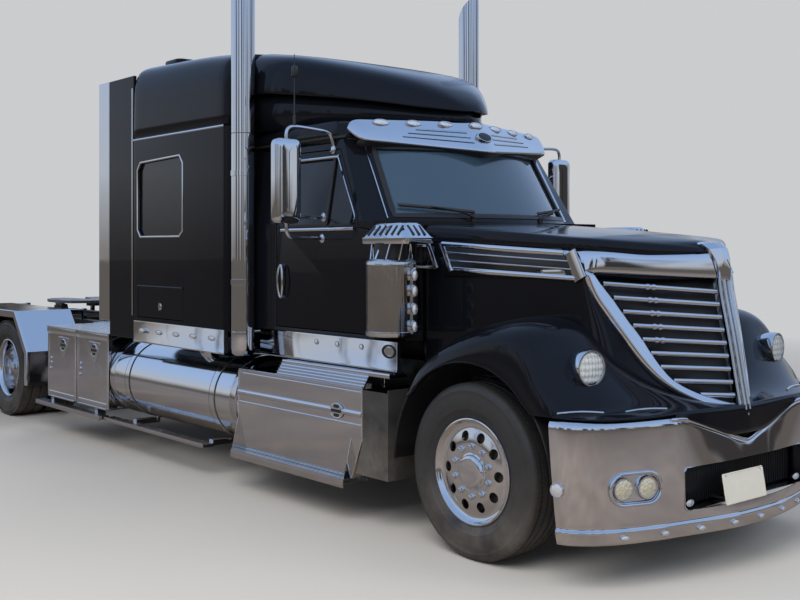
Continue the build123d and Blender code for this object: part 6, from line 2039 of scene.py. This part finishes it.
# rear: fender edge strips, flap weights, tail lamps, rail bolts and the couplings behind the sleeper

rearParts = {"reach": 0.565, "bendReach": 0.21, "bendZ": 0.709, "top": 1.115, "low": 0.365, "half": 1.2105,
             "edge": ((-0.001, -0.03), (-0.003, -0.004), (0.004, 0.003), (0.064, 0.003), (0.068, -0.003),
                      (0.006, -0.006), (0.005, -0.03)),
             "grabRail": ((-4.10, 0.85, 1.55), (-4.15, 0.85, 1.56), (-4.165, 0.85, 1.62), (-4.165, 0.85, 2.1),
                          (-4.15, 0.85, 2.16), (-4.10, 0.85, 2.17))}


def makeFenderEdges():
    first, second = truck["driveAxles"]
    reach, bend, bendZ, top = (rearParts[name] for name in ("reach", "bendReach", "bendZ", "top"))
    line = [Vector(spot) for spot in ((first + reach, rearParts["low"]), (first + reach, bendZ),
                                      (first + bend, top), (second - bend, top), (second - reach, bendZ),
                                      (second - reach, 0.56))]
    ups = []
    for index, here in enumerate(line):
        along = around(line, index).normalized()
        turn = 1.0
        if 0 < index < len(line) - 1:
            turn = 1 / math.cos((here - line[index - 1]).angle(line[index + 1] - here) / 2)
        ups.append(Vector((-along.y, 0, along.x)) * turn)
    edge = Shape().ribbon([(x, rearParts["half"], z) for x, z in line], ups, outward, rearParts["edge"])
    edge.bothSides().show("fender_edges", chromeBright, angle=30)


def makeTail():
    showLamps(bothPlaces([(-9.149, y, 0.66) for y in (0.62, 0.78, 0.94)], (-1, 0, 0)), 0.055, lensRed,
              "tail_lamp", deep=0.012, rim=0.12)
    showLamps(bothPlaces([(-9.149, 1.08, 0.66)], (-1, 0, 0)), 0.045, emberAmber, "turn_lamp", deep=0.012,
              rim=0.14)
    weights = Shape().bar((-9.074, 0.63, 0.30), (-9.074, 1.19, 0.30), 0.05, 0.006)
    weights.bar((-9.074, 0.63, 0.565), (-9.074, 1.19, 0.565), 0.02, 0.008)
    weights.bothSides().show("flap_weights", chromeBright)
    Shape().box((-9.151, -0.17, 0.585), (-9.146, 0.17, 0.705)).show("rear_plate", plateBlank, bevel=0.002)


def makeRailBolts():
    bolt = Shape().lathe([(0.430, 0.013), (0.440, 0.013), (0.442, 0.010)], (-9.0, 0, 0.760), "Y",
                         6).bothSides()
    showPiece(inRows(bolt, "rail_bolts", 34, (0.145, 0, 0), frameBlack, 2, (0, 0, 0.19)), frameBlack)
    caps = Shape().lathe([(-0.452, 0.020), (-0.468, 0.020), (-0.472, 0.014)], (-7.40, 0, 1.05), "Y", 6)
    caps.bothSides().show("pin_heads", boxSteel)


def makeCouplings():
    # air and power couplings on a bracket, with a work lamp and a grab rail on the sleeper's rear wall
    Shape().box((-4.122, -0.26, 1.28), (-4.100, 0.26, 1.40)).show("coupling_bracket", frameBlack, bevel=0.003)
    heads = Shape()
    for y in (-0.18, 0.0, 0.18):
        heads.lathe([(-4.118, 0.030), (-4.150, 0.030), (-4.154, 0.036), (-4.172, 0.036), (-4.176, 0.030)],
                    (0, y, 1.34), segments=28)
    heads.show("coupling_heads", boxSteel)
    rail = Shape().tube(smoothRun(rearParts["grabRail"], 26), 0.014, sides=12)
    rail.bothSides().show("rear_grab_rails", chromeBright)
    showLamps(bothPlaces([(-4.102, 0.5, 2.75)], (-1, 0, -0.2)), 0.055, lensClear, "work_lamp", deep=0.03)
    for side, name in sides:
        latch = Shape().lathe([(1.219, 0.030), (1.223, 0.030), (1.225, 0.026)], (-3.593, 0, 1.295), "Y", 28)
        latch.bar((-3.593, 1.227, 1.262), (-3.593, 1.227, 1.328), 0.016, 0.012, up=(1, 0, 0))
        latch.onSide(side).show("luggage_latch_" + name, chromeBright, "luggage_door_" + name)


makeFenderEdges()
makeTail()
makeRailBolts()
makeCouplings()
print("rear parts made")


# soft things in the cab: seats in leather and the bunk's mattress, swelled by a short cloth run

pads = {"frames": 20, "pressure": 4.0, "seatY": 0.47,
        # corners, half width, pull, size of the even mesh, how far a point may swell
        "seat_cushion_": (((-2.165, 1.566), (-1.70, 1.566), (-1.705, 1.655), (-2.160, 1.655)), 0.235, 0.010,
                          0.0125, 0.024),
        "seat_back_": (((-2.150, 1.700), (-2.262, 2.282), (-2.190, 2.282), (-2.082, 1.700)), 0.225, 0.010,
                       0.0125, 0.024),
        "head_rest_": (((-2.222, 2.325), (-2.288, 2.440), (-2.245, 2.445), (-2.185, 2.325)), 0.110, 0.005,
                       0.008, 0.014)}


def padBlock(corners, width, pull, crown, cuts=10):
    # corners: four (x, z) places in order round the side, front low first; width: the y range
    corners = [Vector(corner) for corner in corners]
    under, over = ([corners[a].lerp(corners[b], step / cuts) for step in range(cuts + 1)]
                   for a, b in ((0, 1), (3, 2)))
    rise, run = (over[0] - under[0]).normalized(), (under[-1] - under[0]).normalized()
    ring = [(place, index / cuts, 0.0) for index, place in enumerate(under)]
    ring += [(under[-1].lerp(over[-1], level / 4), 1.0, level / 4) for level in (1, 2, 3)]
    ring += [(over[index], index / cuts, 1.0) for index in reversed(range(cuts + 1))]
    ring += [(under[0].lerp(over[0], level / 4), 0.0, level / 4) for level in (3, 2, 1)]
    rings = []
    for step in range(cuts + 1):
        across = step / cuts
        side = 4 * across * (1 - across)
        points = []
        for place, along, up in ring:
            span = 4 * along * (1 - along)
            y = width[0] + (width[1] - width[0]) * across
            x, z = place + rise * crown * up * side * span + run * pull * side * ((along == 0.0)
                                                                                  - (along == 1.0))
            points.append((x, y + pull * span * ((across == 0.0) - (across == 1.0)), z))
        rings.append(points)
    return Shape().loft(rings)


def swell(mesh, name, voxel, cap):
    # voxel remesh, a short pressure run, and a limit on how far a point may go
    holder = linked(name, mesh)
    addModifier(holder, "REMESH", mode="VOXEL", voxel_size=voxel)
    even = flattened(holder)
    holder.modifiers.clear()
    holder.data = even
    bpy.data.meshes.remove(mesh)
    start = [vert.co.copy() for vert in even.vertices]
    cloth = addModifier(holder, "CLOTH")
    cloth.settings.use_pressure = True
    cloth.settings.uniform_pressure_force = pads["pressure"]
    cloth.settings.effector_weights.gravity = 0
    cloth.settings.quality = 5
    cloth.point_cache.frame_start, cloth.point_cache.frame_end = 1, pads["frames"]
    for step in range(1, pads["frames"] + 1):
        bpy.context.scene.frame_set(step)
    swelled = flattened(holder)
    for vert, was in zip(swelled.vertices, start):
        move = vert.co - was
        if move.length > cap:
            vert.co = was + move.normalized() * cap
    bpy.data.objects.remove(holder)
    bpy.data.meshes.remove(even)
    bpy.context.scene.frame_set(1)
    return swelled


def pressSeams(mesh, test):
    # test gives how far a seam moves a place, if it does
    for vert in mesh.vertices:
        vert.co += test(vert.co - Vector((truck["axleX"], 0, 0)), vert.normal)


def trough(distance, wide):
    return math.exp(-(distance / wide) ** 2)


def makeSeat(side, name):
    y = pads["seatY"] * side

    def seams(place, normal, label):
        if label == "seat_cushion_" and normal.z > 0.4:
            lines = sum(trough(place.x - x, 0.007)
                        for x in (-2.04, -1.93, -1.82)) * (abs(place.y - y) < 0.165)
            return Vector((0, 0, -0.008 * min(1.0, lines + trough(abs(place.y - y) - 0.168, 0.007))))
        if label == "seat_back_" and normal.x > 0.3:
            lines = sum(trough(place.z - z, 0.008)
                        for z in (1.82, 1.94, 2.06, 2.18)) * (abs(place.y - y) < 0.150)
            return Vector((-0.008 * min(1.0, lines + trough(abs(place.y - y) - 0.153, 0.007)), 0, 0))
        return Vector()

    for label in ("seat_cushion_", "seat_back_", "head_rest_"):
        corners, half, pull, voxel, cap = pads[label]
        block = padBlock(corners, (y - half, y + half), pull, 0.012)
        mesh = swell(block.toMesh(label + name), label + name, voxel, cap)
        pressSeams(mesh, lambda place, normal: seams(place, normal, label))
        stands = ("seats",) if label + name == "seat_cushion_left" else ()
        showPiece(mesh, seatLeather, name=label + name, subdivide=1, replaces=stands)
    posts = Shape()
    for across in (-0.055, 0.055):
        posts.tube([(-2.215, y + across, 2.270), (-2.235, y + across, 2.345)], 0.006)
    posts.show("rest_posts_" + name, chromeBright)


def makeMattress():
    corners = ((-4.038, 1.7265), (-3.118, 1.7265), (-3.122, 1.842), (-4.034, 1.842))
    block = padBlock(corners, (-1.150, 1.150), 0.008, 0.006, cuts=12)
    mesh = swell(block.toMesh("bunk_pad"), "bunk_pad", 0.017, 0.018)

    def tufts(place, normal):
        if normal.z < 0.4:
            return Vector()
        ways = ((place.x + place.y) / 0.20, (place.x - place.y) / 0.20)
        return Vector((0, 0, -0.007 * max(trough((way - round(way)) * 0.14, 0.014) for way in ways)))

    pressSeams(mesh, tufts)
    showPiece(mesh, bunkFabric, name="bunk_pad", subdivide=1, replaces=("bunk_mattress",))


for side, name in sides:
    makeSeat(side, name)
makeMattress()
print("seats and mattress made")


# instruments on the dashboard and the stalks of the steering column

dials = {"face": -1.3305, "large": ((0.395, 1.765), (0.545, 1.765)),
         "small": ((0.285, 1.79), (0.285, 1.72), (0.655, 1.79), (0.655, 1.72))}


def makeDials():
    rims, faces, marks, needles, stalks = (Shape() for part in range(5))
    face = dials["face"]
    for places, radius in ((dials["large"], 0.060), (dials["small"], 0.028)):
        for y, z in places:
            rims.lathe([(face + 0.002, radius), (face - 0.010, radius), (face - 0.013, radius * 0.96),
                        (face - 0.010, radius * 0.90), (face - 0.003, radius * 0.88)], (0, y, z))
            faces.lathe([(face, radius * 0.89), (face - 0.004, radius * 0.89)], (0, y, z))
            for step in range(9):
                turn = math.radians(-40 + 260 * step / 8)
                inner, outer = ((face - 0.0045, y + reach * math.cos(turn), z + reach * math.sin(turn))
                                for reach in (radius * 0.68, radius * 0.80))
                marks.bar(inner, outer, 0.002, 0.001, up=(1, 0, 0))
            needles.bar((face - 0.006, y, z), (face - 0.006, y - radius * 0.5, z - radius * 0.42), 0.003,
                        0.001, up=(1, 0, 0))
    for way in (1, -1):
        stalks.tube(smoothRun([(-1.40, 0.47 + 0.02 * way, 1.685), (-1.42, 0.47 + 0.08 * way, 1.70),
                               (-1.455, 0.47 + 0.15 * way, 1.725)], 12), 0.007)
    for shape, name, finish in ((rims, "dial_rims", chromeBright), (faces, "dial_faces", trimBlack),
                                (marks, "dial_marks", plateBlank), (needles, "dial_needles", emberAmber),
                                (stalks, "column_stalks", cabinPlastic)):
        shape.show(name, finish)


makeDials()
print("instruments made")

# a node that still shows and has no finish of its own gets the plain black one
plain = {node for nodes in plainNodes.values() for node in nodes}
for node, owner in cad.items():
    if not owner.hide_render and node not in plain:
        onlyMaterial(node, trimBlack)
